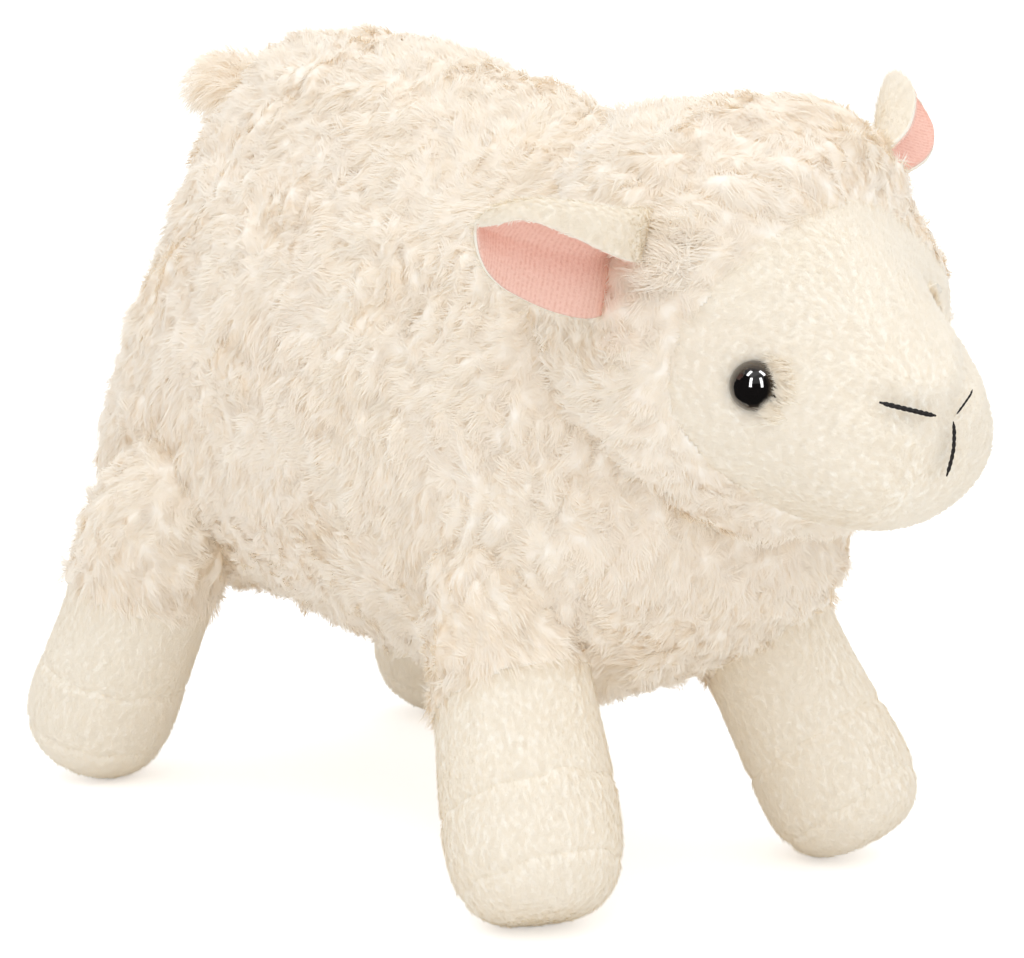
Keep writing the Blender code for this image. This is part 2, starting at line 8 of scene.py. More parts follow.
import json
import math
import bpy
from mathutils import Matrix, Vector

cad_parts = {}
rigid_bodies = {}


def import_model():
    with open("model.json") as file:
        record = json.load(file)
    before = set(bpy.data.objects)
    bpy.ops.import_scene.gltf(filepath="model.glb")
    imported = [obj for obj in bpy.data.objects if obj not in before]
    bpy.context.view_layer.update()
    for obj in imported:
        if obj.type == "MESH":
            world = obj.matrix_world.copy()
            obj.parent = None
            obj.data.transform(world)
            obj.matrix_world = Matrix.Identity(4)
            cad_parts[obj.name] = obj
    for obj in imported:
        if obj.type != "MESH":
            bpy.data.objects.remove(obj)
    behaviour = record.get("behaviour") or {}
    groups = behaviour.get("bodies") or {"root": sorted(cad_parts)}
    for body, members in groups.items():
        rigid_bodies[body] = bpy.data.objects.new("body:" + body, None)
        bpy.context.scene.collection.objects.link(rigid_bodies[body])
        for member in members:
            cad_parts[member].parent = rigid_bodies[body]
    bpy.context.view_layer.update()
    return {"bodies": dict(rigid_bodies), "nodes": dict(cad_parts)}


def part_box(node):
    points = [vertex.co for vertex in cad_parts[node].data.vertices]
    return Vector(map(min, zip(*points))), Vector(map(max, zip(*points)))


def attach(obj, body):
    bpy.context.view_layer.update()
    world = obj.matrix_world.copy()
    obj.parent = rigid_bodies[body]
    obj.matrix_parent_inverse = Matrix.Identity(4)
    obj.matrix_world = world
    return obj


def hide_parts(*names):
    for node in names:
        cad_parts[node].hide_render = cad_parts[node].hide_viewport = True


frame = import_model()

from types import SimpleNamespace

import bmesh
import bpy
import numpy as np
from mathutils import Vector
from mathutils.bvhtree import BVHTree
from mathutils.kdtree import KDTree

# Camera: the photograph's angle and framing
TARGET = Vector((0.0, 0.0065, 0.090))
AZIMUTH = math.radians(-37.56)
ELEVATION = math.radians(11.74)
DISTANCE = 1.100
LENS = 147.2
SHIFT = (0.01035, 0.01309)

# Eyes: where each dome sits and the way it faces
EYES = {
    "eye_right": ((-0.0204, -0.1172, 0.1384), (-0.786, -0.613, 0.085)),
    "eye_left": ((0.0397, -0.1097, 0.1488), (0.828, -0.418, 0.374)),
}
EYE_PLACE = Vector(EYES["eye_right"][0])
EYE_RADIUS = 0.0060
EYE_HEIGHT = 0.0052
EYE_SUNK = 0.0008
EYE_SIDES = 64
EYE_LEVELS = 22
EYE_FLAT_TOP = 0.06
TUFT_LEANS = (-0.7, 0.0, 0.7)

# Light, and the windows the right eye mirrors: across, up, width and height in shares of its dome
WORLD_STRENGTH = 0.900
WHITE = (1.0, 1.0, 1.0)
WINDOW_DISTANCE = 1.2
WINDOW_GLOW = 24.0
GLINTS = {
    "window_left_low": (-0.18, 0.12, 0.10, 0.38),
    "window_right_low": (0.24, 0.12, 0.10, 0.38),
    "window_left_high": (-0.22, 0.48, 0.10, 0.22),
    "window_right_high": (0.28, 0.48, 0.10, 0.22),
}

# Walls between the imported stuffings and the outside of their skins
BODY_WALL = 0.0083
PLUSH_WALL = 0.0033

# Small swells and dips of the stuffing: centre, reach and amount
BODY_PUSHES = (
    ((-0.046, 0.125, 0.092), 0.032, 0.0040),
    ((-0.050, 0.122, 0.079), 0.018, 0.0036),
    ((-0.034, 0.127, 0.140), 0.042, -0.0042),
    ((-0.040, 0.095, 0.168), 0.030, -0.0015),
    ((-0.022, 0.068, 0.047), 0.040, -0.0052),
    ((0.038, -0.080, 0.083), 0.028, 0.0080),
    ((0.012, -0.025, 0.192), 0.028, 0.0028),
    ((-0.010, 0.097, 0.199), 0.022, 0.0032),
)
HEAD_PUSHES = (
    ((0.026, -0.090, 0.196), 0.026, 0.0065),
    ((-0.006, -0.052, 0.196), 0.022, 0.0025),
    ((0.037, -0.088, 0.190), 0.020, 0.0065),
    ((0.046, -0.098, 0.172), 0.024, 0.0045),
    ((0.053, -0.091, 0.158), 0.024, 0.0040),
    ((0.056, -0.095, 0.147), 0.024, 0.0095),
)
LEG_PUSHES = {
    "front_right": (((-0.060, -0.060, 0.030), 0.040, 0.0016), ((-0.030, -0.075, 0.030), 0.040, 0.0016)),
    "front_left": (((0.070, -0.060, 0.050), 0.022, -0.0030), ((0.066, -0.060, 0.066), 0.022, -0.0018)),
    "rear_right": (((-0.066, 0.099, 0.086), 0.028, 0.0032), ((-0.070, 0.108, 0.070), 0.020, 0.0012)),
    "rear_left": (),
}

# The line on the crown where the pile lies apart
PARTING = ((-0.0064, -0.0993, 0.1945), (-0.0090, -0.1060, 0.1902), (-0.0101, -0.1108, 0.1856),
           (-0.0113, -0.1151, 0.1807))

# Parts of the legs, and the grids that the skins are made on
LEGS = ("front_right", "front_left", "rear_right", "rear_left")
LEG_PIECES = ("sole", "toe_cap", "stocking", "sleeve")
BODY_GRID = (250, 340)
HEAD_GRID = (230, 270)
LEG_GRID = (150, 130)
POLE_ROWS = 3

# Smoothing: how often a finer grid, the even form and a filled pit are averaged, and how deep a pit is
GRID_SMOOTHING = 4
EVEN_SMOOTHING = 60
PIT_FILLINGS = 30
PIT_DEPTH = 0.0025

# Pile: locks to a square metre, and the lie of a lock (metres, and radians off the skin)
SEED = 11
FLOOR_GAP = 0.0002
LOCKS_PER_AREA = 0.32e6
MOST_FACES = 190000
FLEECE_STYLE = dict(width=0.00018, start=0.42, end=0.07, spread=0.0017, jitter=0.38, locks=11,
                    wave=0.0006, clump=0.42)
PLUSH_STYLE = dict(width=0.00012, start=0.42, end=0.08, spread=0.0007, jitter=0.15, locks=5,
                   steps=2)
FUZZ_PER_AREA = 1.4e6
EAR_FUZZ_PER_AREA = 1.6e6
STRAND_VARIES = 0.12
TILT_EASE = 0.7
TAPER = 0.45
DENSITY = 1.0
WIDE_TURNS = 0.75
SMALL_TURNS = 0.55
HUMP_SIZE = 0.012

# Lengths of the pile on each part, how much they vary, and how much they grow at a hem
PILE = {"body": 0.0050, "hood": 0.0042, "sleeve": 0.0050, "face": 0.0020, "leg": 0.0021, "ear": 0.0026,
        "tail": 0.0115, "eye_tuft": 0.0042, "ear_root": 0.0090}
PILE_VARIES = 0.0005
HEM_GROWTH = 0.0022
HEM_REACH = 0.005
EYE_TUFT_LOCKS = 260
EAR_ROOT_LOCKS = 300

# Where each backing lies: how deep under the skin, how high its humps are, and how the hood swells
# from its edge to HOOD_EASE behind it
BODY_SINK, BODY_HUMP = 0.0030, 0.0026
SLEEVE_SINK, SLEEVE_HUMP = 0.0014, 0.0020
HOOD_SINK, HOOD_HUMP = 0.0018, 0.0008
HOOD_SWELL, HOOD_HUMP_GROWTH = 0.0050, 0.0020
HOOD_EASE = 0.014
FACE_SINK = 0.0012
LEG_SINK = 0.0010

# Seams, the groove and the puff of skin at the mouth, and the parting: depths and reaches
SEAM_TUCK, SEAM_REACH = 0.0011, 0.0016
GROOVE, GROOVE_REACH = 0.0011, 0.0024
PUFF, PUFF_PLACE, PUFF_REACH = 0.0008, 0.007, 0.0032
PARTING_REACH, PARTING_BARE = 0.005, 0.0020

# Backings: their wall, how far one runs under the next, and the colour that each shows of its pile
FACE_WALL = 0.0015
BACKING = 0.0012
OVERLAP = 0.0032
UNDER_BODY = 0.004
FLEECE_TIP = 0.25
PLUSH_TIP = 0.6
TAIL_DROOP = (-0.002, -0.001, -0.008)
TAIL_RISE = (0.0, 0.0, 0.0050)

# Colours of a pile: its root, its deep, pale and warm patches, and a darker colour painted as shade in the
# creases between its humps
FLEECE_COLOURS = ((0.972, 0.920, 0.835), (0.965, 0.900, 0.797), (0.969, 0.907, 0.810),
                  (0.967, 0.903, 0.797), (0.958, 0.893, 0.770))
PLUSH_COLOURS = ((0.955, 0.905, 0.805), (0.948, 0.888, 0.775), (0.950, 0.893, 0.785),
                 (0.949, 0.890, 0.777), (0.940, 0.872, 0.735))
PLUSH_SKIN_COLOURS = ((0.948, 0.889, 0.778), (0.946, 0.885, 0.770))
KNIT_VALLEY = (0.80, 0.44, 0.34)
KNIT_RIB = (0.90, 0.56, 0.45)
KNIT_LOOP = (0.93, 0.60, 0.50)
PUPIL_COLOURS = ((0.0035, 0.003, 0.003), (0.008, 0.0065, 0.006))
EYE_RIM_COLOUR = (0.050, 0.037, 0.026)
FIBRE_COLOURS = ((0.88, 0.87, 0.84), (0.95, 0.95, 0.93))
WASHER_COLOURS = ((0.74, 0.74, 0.71), (0.80, 0.80, 0.78))
THREAD_COLOURS = ((0.008, 0.007, 0.007), (0.035, 0.030, 0.028))

# Mouth: the share of each packed stitch that shows thread, from start to end, and the ply's radius
MOUTH = {"mouth_right": (0.20, 0.90, 0.00046),
         "mouth_left": (0.0, 0.40, 0.00020),
         "philtrum": (0.0, 1.0, 0.00036)}
STITCH_STOPS = 40
STITCH_PITCH = 0.0030
PLY_SHARE = 0.38
THREAD_SIDES = 10

# Ears, in millimetres along, across and off the leaf. Each leaf's axes are written as shares
# of the picture's right, of up, and of the way to the camera
MILLIMETRE = 0.001
LINING_LIFT, LINING_WALL = 0.0003, 0.0006
EAR_BACK_LIFT, EAR_BACK_WALL = 0.0004, 0.0008
COVER_LIFT = 0.0003
VIEW_AXES = (Vector((0.793, -0.6096, 0.0)), Vector((0.124, 0.161, 0.979)), Vector((-0.597, -0.776, 0.2035)))
ROOT_BEND = 0.015
ROOT_SINK = 0.008
FLAP_LIFT = 0.40
EAR_DESIGNS = {
    "ear_right": dict(
        origin=(-0.0385, -0.0947, 0.1643),
        axes=[(-0.87, 0.14, 0.47), (0.308, 0.904, 0.301), (-0.383, 0.407, -0.83)],
        outline=[(-9, -8.0, 10.5), (-4, -11.0, 13.2), (2.5, -13.3, 14.6),
                 (10, -13.4, 14.9), (19.4, -12.6, 14.8), (26, -11.2, 14.4),
                 (33, -9.2, 13.2), (38, -6.2, 11.4), (41, -2.8, 9.2), (42.6, 0.2, 7.2), (43.3, 2.4, 5.2)],
        section=[(0.0, -1.4), (0.25, 0.8), (0.44, 3.2), (0.50, 4.0), (0.56, 3.0),
                 (0.80, -0.4), (0.95, -1.4), (1.0, -2.4)],
        flap=[(-9, 10.5), (5, 10.8), (12, 9.4), (20, 7.6), (28, 5.4), (36, 3.0), (43.4, 1.0)]),
    "ear_left": dict(
        origin=(0.0470, -0.0885, 0.1772),
        axes=[(0.10, 0.80, -0.59), (0.05, -0.40, -0.915), (-0.994, 0.08, -0.06)],
        outline=[(-6, -10.6, -1.0), (5, -11.0, 0.5), (12, -11.2, 4.0), (20, -10.6, 7.8), (26, -9.4, 7.8),
                 (30, -7.2, 6.2), (33, -5.0, 4.2), (35, -3.2, 2.6), (36, -2.0, 1.5), (36.4, -1.0, 0.8)],
        section=[(0.0, -6.2), (0.10, -3.6), (0.28, 1.0), (0.48, 3.2), (0.70, 0.0),
                 (0.88, -5.6), (1.0, -10.5)],
        flap=[(-6, 0.0), (36.4, 0.0)]),
}


def unit(vectors):
    return vectors / np.maximum(np.linalg.norm(vectors, axis=-1, keepdims=True), 1e-12)


def cloud_of(node):
    return np.array([v.co for v in frame["nodes"][node].data.vertices])


def main_axis(cloud):
    """The way along which a cloud of points is longest."""
    return np.linalg.svd(cloud - cloud.mean(axis=0), full_matrices=False)[2][0]


def reach_along(path):
    """How far each point of a path is from its start, along the path."""
    return np.concatenate([[0.0], np.cumsum(np.linalg.norm(np.diff(path, axis=0), axis=1))])


def tree_of(node):
    mesh = frame["nodes"][node].data
    return BVHTree.FromPolygons([v.co for v in mesh.vertices], [p.vertices for p in mesh.polygons])


def waves(points, size, seed, channels=3):
    """Smooth noise in -1..1 made of crossing sine waves, about one hill per size."""
    phases = np.random.default_rng(seed)
    total = np.zeros(points.shape[:-1] + (channels,))
    count = 7
    for _ in range(count):
        heading = unit(phases.normal(size=(channels, 3)))
        pitch = math.tau / size * phases.uniform(0.6, 1.5, channels)
        shift = phases.uniform(0.0, math.tau, channels)
        total += np.sin(points @ (heading * pitch[:, None]).T + shift)
    return total / math.sqrt(count)


class Skin:
    """A grid of points over a form, from pole to pole, with its normals."""

    closed = True

    def __init__(self, points):
        self.points = points
        self.rows, self.columns = points.shape[:2]
        along = np.gradient(points, axis=0)
        padded = np.concatenate([points[:, -1:], points, points[:, :1]], axis=1)
        around = (padded[:, 2:] - padded[:, :-2]) / 2.0
        normals = np.cross(around, along)
        middle = points.mean(axis=(0, 1))
        if (normals * (points - middle)).sum() < 0.0:
            normals = -normals
        normals = unit(normals)
        for cap in (slice(0, POLE_ROWS), slice(-POLE_ROWS, None)):
            normals[cap] = unit(normals[cap].mean(axis=(0, 1)))
        self.normals = normals
        self.along = along
        self.around = around

    def offset(self, distance):
        """The skin moved out by one distance, or by one for each point."""
        distance = np.asarray(distance)
        if distance.ndim:
            distance = distance[..., None]
        return Skin(self.points + self.normals * distance)

    def faces(self):
        count = self.columns
        corners = [(row * count + column, row * count + (column + 1) % count)
                   for row in range(self.rows - 1) for column in range(count)]
        return [(first, second, second + count, first + count) for first, second in corners]

    def tree(self):
        last = (self.rows - 1) * self.columns
        caps = [list(range(self.columns)), list(range(last, last + self.columns))]
        flat = self.points.reshape(-1, 3)
        return BVHTree.FromPolygons([Vector(p) for p in flat], self.faces() + caps)


def push(skin, places):
    """The skin moved out, or in, round a few places: (centre, reach, amount)."""
    amount = np.zeros(skin.points.shape[:2])
    for centre, reach, most in places:
        away = np.linalg.norm(skin.points - np.array(centre), axis=-1)
        amount += most * np.exp(-2.0 * (away / reach) ** 2)
    return skin.offset(amount)


def softened(values, times):
    """Values with each one inside the ends drawn towards its neighbours."""
    for _ in range(times):
        values[1:-1] = (values[:-2] + values[2:] + 2.0 * values[1:-1]) / 4.0
    return values


def resample(values, rows, columns):
    """Grid values on a finer grid, smoothed a little."""
    trail = (1,) * (values.ndim - 2)
    at = np.linspace(0.0, values.shape[0] - 1.0, rows)
    low = np.minimum(at.astype(int), values.shape[0] - 2)
    share = (at - low).reshape((-1, 1) + trail)
    values = values[low] * (1.0 - share) + values[low + 1] * share
    at = np.arange(columns) * values.shape[1] / columns
    low = at.astype(int)
    share = (at - low).reshape((1, -1) + trail)
    values = values[:, low] * (1.0 - share) + values[:, (low + 1) % values.shape[1]] * share
    for _ in range(GRID_SMOOTHING):
        values = softened(values, 1)
        values = (np.roll(values, 1, 1) + np.roll(values, -1, 1) + 2.0 * values) / 4.0
    return values


def tufts(points, size, seed):
    """Rounded humps with soft creases between them, in 0..1."""
    swell = np.abs(waves(points, size, seed, 1)[..., 0])
    return np.sqrt(np.clip(swell, 0.0, 1.5) ** 2 + 0.01) / 1.5


def smooth_grid(values, times):
    """Values on a grid that closes on itself, each drawn towards its neighbours."""
    for _ in range(times):
        up = np.concatenate([values[:1], values[:-1]])
        down = np.concatenate([values[1:], values[-1:]])
        values = (up + down + np.roll(values, 1, 1) + np.roll(values, -1, 1) + 4.0 * values) / 8.0
    return values


def wrap(node, axis, core_share, rows, columns, wall, smoothing):
    """A skin round a node, cast inwards onto it, this wall away from it."""
    tree = tree_of(node)
    low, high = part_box(node)
    centre = np.array((low + high) / 2.0)
    axis = unit(np.array(axis, float))
    side = unit(np.cross(axis, (0.3, 0.2, 1.0) if abs(axis[2]) < 0.9 else (0.0, 1.0, 0.0)))
    third = np.cross(axis, side)
    reach = (high - low).length
    polar = math.pi * (np.arange(rows) + 0.5) / rows
    turn = math.tau * np.arange(columns) / columns
    rounds = np.cos(turn)[:, None] * side + np.sin(turn)[:, None] * third
    directions = np.cos(polar)[:, None, None] * axis + np.sin(polar)[:, None, None] * rounds[None]
    starts = centre + (core_share * reach / 2.0 * np.cos(polar))[:, None] * axis
    radius = np.full((rows, columns), np.nan)
    for row in range(rows):
        for column in range(columns):
            direction = directions[row, column]
            hit = tree.ray_cast(Vector(starts[row] + direction * reach), Vector(-direction))[0]
            if hit is not None:
                radius[row, column] = (np.array(hit) - starts[row]) @ direction
    radius = np.where(np.isnan(radius), np.nanmedian(radius), radius)
    pits = radius < smooth_grid(radius, EVEN_SMOOTHING) - PIT_DEPTH
    filled = radius.copy()
    for _ in range(PIT_FILLINGS):
        filled = np.where(pits, smooth_grid(filled, 2), radius)
    radius = smooth_grid(filled, smoothing)
    return Skin(starts[:, None] + directions * radius[..., None]).offset(wall)


def each_point(points, measure):
    """A measure of every point of a grid."""
    return np.array([measure(Vector(p)) for p in points.reshape(-1, 3)]).reshape(points.shape[:-1])


def label(points, nodes):
    """Which of the nodes each point is nearest to."""
    trees = [tree_of(node) for node in nodes]
    return np.argmin([each_point(points, lambda p: tree.find_nearest(p)[3]) for tree in trees], axis=0)


def depth_in(points, skin):
    """How deep each point lies inside a skin; negative outside."""
    tree = skin.tree()
    middle = Vector(skin.points.mean(axis=(0, 1)))

    def depth(point):
        hit, _, _, distance = tree.find_nearest(point)
        return distance if (point - hit).dot(hit - middle) < 0.0 else -distance

    return each_point(points, depth)


def distance_to(points, others):
    tree = KDTree(len(others))
    for index, other in enumerate(others):
        tree.insert(Vector(other), index)
    tree.balance()
    return each_point(points, lambda p: tree.find(p)[2])


def placed(name, data):
    """A new object in the scene that shows this data."""
    thing = bpy.data.objects.new(name, data)
    bpy.context.scene.collection.objects.link(thing)
    return thing


def new_object(name, mesh, material, body):
    piece = placed(name, mesh)
    mesh.materials.append(material)
    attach(piece, body)
    return piece


def mesh_from(name, bm):
    """A smooth mesh of a bmesh, with its faces turned the same way."""
    bmesh.ops.recalc_face_normals(bm, faces=bm.faces)
    mesh = bpy.data.meshes.new(name)
    bm.to_mesh(mesh)
    bm.free()
    mesh.shade_smooth()
    return mesh


def thickened(mesh, thickness, offset):
    """The mesh with a wall, in place of the thin one."""
    name = mesh.name
    holder = placed(name, mesh)
    wall = holder.modifiers.new("wall", "SOLIDIFY")
    wall.thickness = thickness
    wall.offset = offset
    graph = bpy.context.evaluated_depsgraph_get()
    solid = bpy.data.meshes.new_from_object(holder.evaluated_get(graph))
    bpy.data.objects.remove(holder)
    bpy.data.meshes.remove(mesh)
    solid.name = name
    return solid


def bridge(bm, rings):
    """Faces between neighbouring rings of vertices, and over both ends."""
    for first, second in zip(rings[:-1], rings[1:]):
        for step in range(len(first)):
            beside = (step + 1) % len(first)
            bm.faces.new((first[step], first[beside], second[beside], second[step]))
    bm.faces.new(rings[0][::-1])
    bm.faces.new(rings[-1])


def close_poles(bm, layer, verts, skin):
    """A fan of triangles over each open end of a skin's mesh."""
    for row, v in ((0, 0.0), (skin.rows - 1, 1.0)):
        ring = verts[row * skin.columns:(row + 1) * skin.columns]
        pole = bm.verts.new(skin.points[row].mean(axis=0))
        for column, vert in enumerate(ring):
            face = bm.faces.new((vert, ring[(column + 1) % skin.columns], pole))
            for loop, u in zip(face.loops, (column, column + 1, column + 0.5)):
                loop[layer].uv = (u / skin.columns, v if loop.vert is pole else (row + 0.5) / skin.rows)


def grid_mesh(name, skin, keep=None, thickness=0.0, tip=0.0):
    """A mesh of the skin's cells, or of those kept, with a map for baking."""
    bm = bmesh.new()
    layer = bm.loops.layers.uv.new("OFBake")
    mark = bm.verts.layers.float.new("tip")
    verts = [bm.verts.new(point) for point in skin.points.reshape(-1, 3)]
    for index, corners in enumerate(skin.faces()):
        if keep is not None and not keep.reshape(-1)[list(corners)].all():
            continue
        row, column = divmod(index, skin.columns)
        face = bm.faces.new([verts[corner] for corner in corners])
        across = (column, column + 1, column + 1, column)
        for loop, u, v in zip(face.loops, across, (row, row, row + 1, row + 1)):
            loop[layer].uv = (u / skin.columns, (v + 0.5) / skin.rows)
    if keep is None:
        close_poles(bm, layer, verts, skin)
    for vert in bm.verts:
        vert[mark] = tip
    bmesh.ops.delete(bm, geom=[vert for vert in bm.verts if not vert.link_faces], context="VERTS")
    mesh = mesh_from(name, bm)
    return thickened(mesh, thickness, -1.0) if thickness else mesh


def fleece_backing(name, skin, keep=None, thickness=0.0, tip=FLEECE_TIP, body_name="body"):
    return new_object(name, grid_mesh(name, skin, keep, thickness, tip), FLEECE, body_name)


def plush_backing(name, skin, keep, thickness):
    return new_object(name, grid_mesh(name, skin, keep, thickness, PLUSH_TIP), PLUSH_SKIN, "body")


def cell_areas(skin):
    a = skin.points[:-1]
    areas = np.linalg.norm(np.cross(skin.points[1:] - a, np.roll(a, -1, axis=1) - a), axis=-1)
    if not skin.closed:
        areas[:, -1] = 0.0
    return areas


def area_of(skin, weight):
    return (cell_areas(skin) * (weight[:-1] + weight[1:]) / 2.0).sum()


def scatter(skin, weight, count):
    """Places on a skin, spread by area and weight: cell indices and shares across each cell."""
    share = (weight[:-1] + weight[1:]) / 2.0
    mass = (cell_areas(skin) * share).reshape(-1)
    edges = np.cumsum(mass)
    picks = (np.arange(count) + rng.random(count)) / count * edges[-1]
    cells = np.minimum(np.searchsorted(edges, picks), len(mass) - 1)
    return cells // skin.columns, cells % skin.columns, rng.random(count), rng.random(count)


def sample(field, skin, places):
    """A grid field at scattered places."""
    row, column, down, across = places
    beside = (column + 1) % skin.columns
    shape = (-1,) + (1,) * (field.ndim - 2)
    down = down.reshape(shape)
    across = across.reshape(shape)
    top = field[row, column] * (1.0 - across) + field[row, beside] * across
    bottom = field[row + 1, column] * (1.0 - across) + field[row + 1, beside] * across
    return top * (1.0 - down) + bottom * down


def fill(rows, key, values, kind=np.float32):
    rows.foreach_set(key, values.reshape(-1).astype(kind))


def ribbons_mesh(name, verts, normals, tips, tones, crease_shades, uvs):
    """Ribbons that end in a point: verts is (count, 2 * steps + 1, 3)."""
    count, each = verts.shape[:2]
    steps = (each - 1) // 2
    quads = [(2 * s, 2 * s + 1, 2 * s + 3, 2 * s + 2) for s in range(steps - 1)]
    pattern = np.array([i for quad in quads for i in quad] + [2 * steps - 2, 2 * steps - 1, 2 * steps])
    loops = (np.arange(count)[:, None] * each + pattern).reshape(-1)
    starts_one = np.array([4 * s for s in range(steps)])
    starts = (np.arange(count)[:, None] * len(pattern) + starts_one).reshape(-1)
    mesh = bpy.data.meshes.new(name)
    mesh.vertices.add(count * each)
    fill(mesh.vertices, "co", verts)
    mesh.loops.add(len(loops))
    fill(mesh.loops, "vertex_index", loops, np.int32)
    mesh.polygons.add(len(starts))
    fill(mesh.polygons, "loop_start", starts, np.int32)
    mesh.update(calc_edges=True)
    # tip and tone are the pile's own colour; the third attribute is painted shade in the creases
    for title, values in (("tip", tips), ("tone", tones), ("crease_shade", crease_shades)):
        fill(mesh.attributes.new(title, "FLOAT", "POINT").data, "value", values)
    fill(mesh.uv_layers.new(name="OFBake").data, "uv", uvs.reshape(-1, 2)[loops])
    mesh.shade_smooth()
    fill(mesh.attributes.new("custom_normal", "FLOAT_VECTOR", "POINT").data, "vector", normals)
    return mesh


def lock_values(skin, places, flow, crease_shade_mask, length, start, end, jitter, wave):
    """What the strands of each lock share: its root, its directions, its lie and its map."""
    row, column, down, across = places
    normals = unit(sample(skin.normals, skin, places))
    headings = sample(flow, skin, places)
    count = len(headings)
    headings = headings + rng.normal(scale=jitter, size=(count, 3))
    headings = unit(headings - (headings * normals).sum(1, keepdims=True) * normals)
    return SimpleNamespace(
        root=sample(skin.points, skin, places),
        normal=normals,
        heading=headings,
        side=np.cross(normals, headings),
        # painted shade: how deep in a crease the lock's root lies
        crease_shade=sample(crease_shade_mask, skin, places),
        along=sample(skin.along, skin, places),
        around=sample(skin.around, skin, places),
        u=(column + across) / skin.columns,
        v=(row + down + 0.5) / skin.rows,
        tone=rng.random(count),
        first=start + rng.normal(scale=0.16, size=count),
        last=end + rng.normal(scale=0.14, size=count),
        reach=sample(length, skin, places) * rng.uniform(0.78, 1.12, count),
        phase=rng.uniform(0.0, math.tau, count),
        swing=rng.normal(scale=wave, size=count))


def strand_values(lock, each, spread, twist, width):
    """Each strand's own values, which start from those of its lock."""
    member = np.repeat(np.arange(len(lock.root)), each)
    total = len(member)
    strand = SimpleNamespace(**{key: values[member] for key, values in vars(lock).items()})
    angle = rng.uniform(0.0, math.tau, total)
    out = spread * np.sqrt(rng.random(total))
    strand.offset = ((np.cos(angle) * out)[:, None] * strand.heading
                     + (np.sin(angle) * out)[:, None] * strand.side)
    strand.reach = strand.reach * rng.uniform(0.8, 1.1, total)
    strand.first = strand.first + rng.normal(scale=STRAND_VARIES, size=total)
    strand.last = strand.last + rng.normal(scale=STRAND_VARIES, size=total)
    strand.stray = rng.normal(scale=STRAND_VARIES, size=total)
    strand.roll = rng.normal(scale=twist, size=total)
    strand.tone = np.clip(strand.tone * 0.7 + rng.random(total) * 0.3, 0.0, 1.0)
    strand.half = width * rng.uniform(0.7, 1.2, total) / 2.0
    return strand


def ribbons(strand, steps, droop, clump, soft):
    """The two edges of each ribbon from its root to its tip, and which way they face."""
    heading, normal, side = strand.heading, strand.normal, strand.side
    shares = np.linspace(0.0, 1.0, steps + 1)
    position = strand.root + strand.offset
    direction = np.cos(strand.first)[:, None] * heading + np.sin(strand.first)[:, None] * normal
    turn = strand.roll[:, None]
    rings, facings, tips = [], [], []
    for index, share in enumerate(shares):
        if index:
            middle = (shares[index] + shares[index - 1]) / 2.0
            tilt = strand.first + (strand.last - strand.first) * middle ** TILT_EASE
            direction = np.cos(tilt)[:, None] * heading + np.sin(tilt)[:, None] * normal
            sag = np.array((0.0, 0.0, -droop * middle))
            direction = unit(direction + strand.stray[:, None] * side + sag)
            position = position + direction * (strand.reach / steps)[:, None]
        sway = (np.sin(strand.phase + share * 4.0) * strand.swing * share)[:, None] * side
        spine = position - strand.offset * (clump * share) + sway
        if index < steps:
            flat = unit(np.cross(direction, normal))
            edge = unit(flat * np.cos(turn) + np.cross(direction, flat) * np.sin(turn))
            edge *= np.sign((np.cross(edge, direction) * normal).sum(1, keepdims=True))
            facing = unit(normal * soft + np.cross(edge, direction) * (1.0 - soft))
            half = (strand.half * (1.0 - TAPER * share))[:, None]
            rings += [spine - edge * half, spine + edge * half]
            facings += [facing, facing]
            tips += [share, share]
    rings.append(spine)
    facings.append(facing)
    tips.append(1.0)
    verts = np.stack(rings, axis=1)
    verts[..., 2] = np.maximum(verts[..., 2], FLOOR_GAP)
    return verts, np.stack(facings, axis=1), np.tile(tips, (len(verts), 1))


def map_of(verts, strand, skin):
    """Where each vertex lies on the skin's own map, for baking."""
    moved = verts - strand.root[:, None]
    halves = []
    for start, cell, cells in ((strand.u, strand.around, skin.columns), (strand.v, strand.along, skin.rows)):
        step = (moved * cell[:, None]).sum(-1) / np.maximum((cell ** 2).sum(-1), 1e-12)[:, None]
        halves.append(start[:, None] + step / cells)
    return np.clip(np.stack(halves, axis=-1), 0.001, 0.999)


def grow(skin, places, flow, crease_shade_mask, length, width, start, end, spread, jitter, locks, steps=3, wave=0.0,
         droop=0.0, clump=0.7, soft=1.0, twist=0.2):
    """Pile on a skin: locks of ribbons that stand up at the root and lie over towards the tip.

    start and end are the angles off the skin at the root and tip, in radians. clump draws the tips
    of a lock together. With soft at 1 a ribbon is lit as its skin is, with 0 by its own side.
    """
    lock = lock_values(skin, places, flow, crease_shade_mask, length, start, end, jitter, wave)
    strand = strand_values(lock, locks, spread, twist, width)
    verts, facings, tips = ribbons(strand, steps, droop, clump, soft)
    tones = np.repeat(strand.tone[:, None], verts.shape[1], axis=1)
    crease_shades = np.repeat(strand.crease_shade[:, None], verts.shape[1], axis=1)
    return verts, facings, tips, tones, crease_shades, map_of(verts, strand, skin)


# Materials
def put(node, values):
    """The node, with fixed values on its own sockets."""
    for key, value in values.items():
        node.inputs[key].default_value = value
    return node


def node_material(name, roughness, specular=None):
    material = bpy.data.materials.new(name)
    material.use_nodes = True
    shader = material.node_tree.nodes["Principled BSDF"]
    put(shader, {"Roughness": roughness})
    if specular is not None:
        put(shader, {"Specular IOR Level": specular})
    return material, material.node_tree, shader


def mix_colours(tree, factor, first, second):
    mix = tree.nodes.new("ShaderNodeMix")
    mix.data_type = "RGBA"
    tree.links.new(factor, mix.inputs["Factor"])
    for value, socket in ((first, mix.inputs[6]), (second, mix.inputs[7])):
        if isinstance(value, tuple):
            socket.default_value = (*value, 1.0)
        else:
            tree.links.new(value, socket)
    return mix.outputs[2]


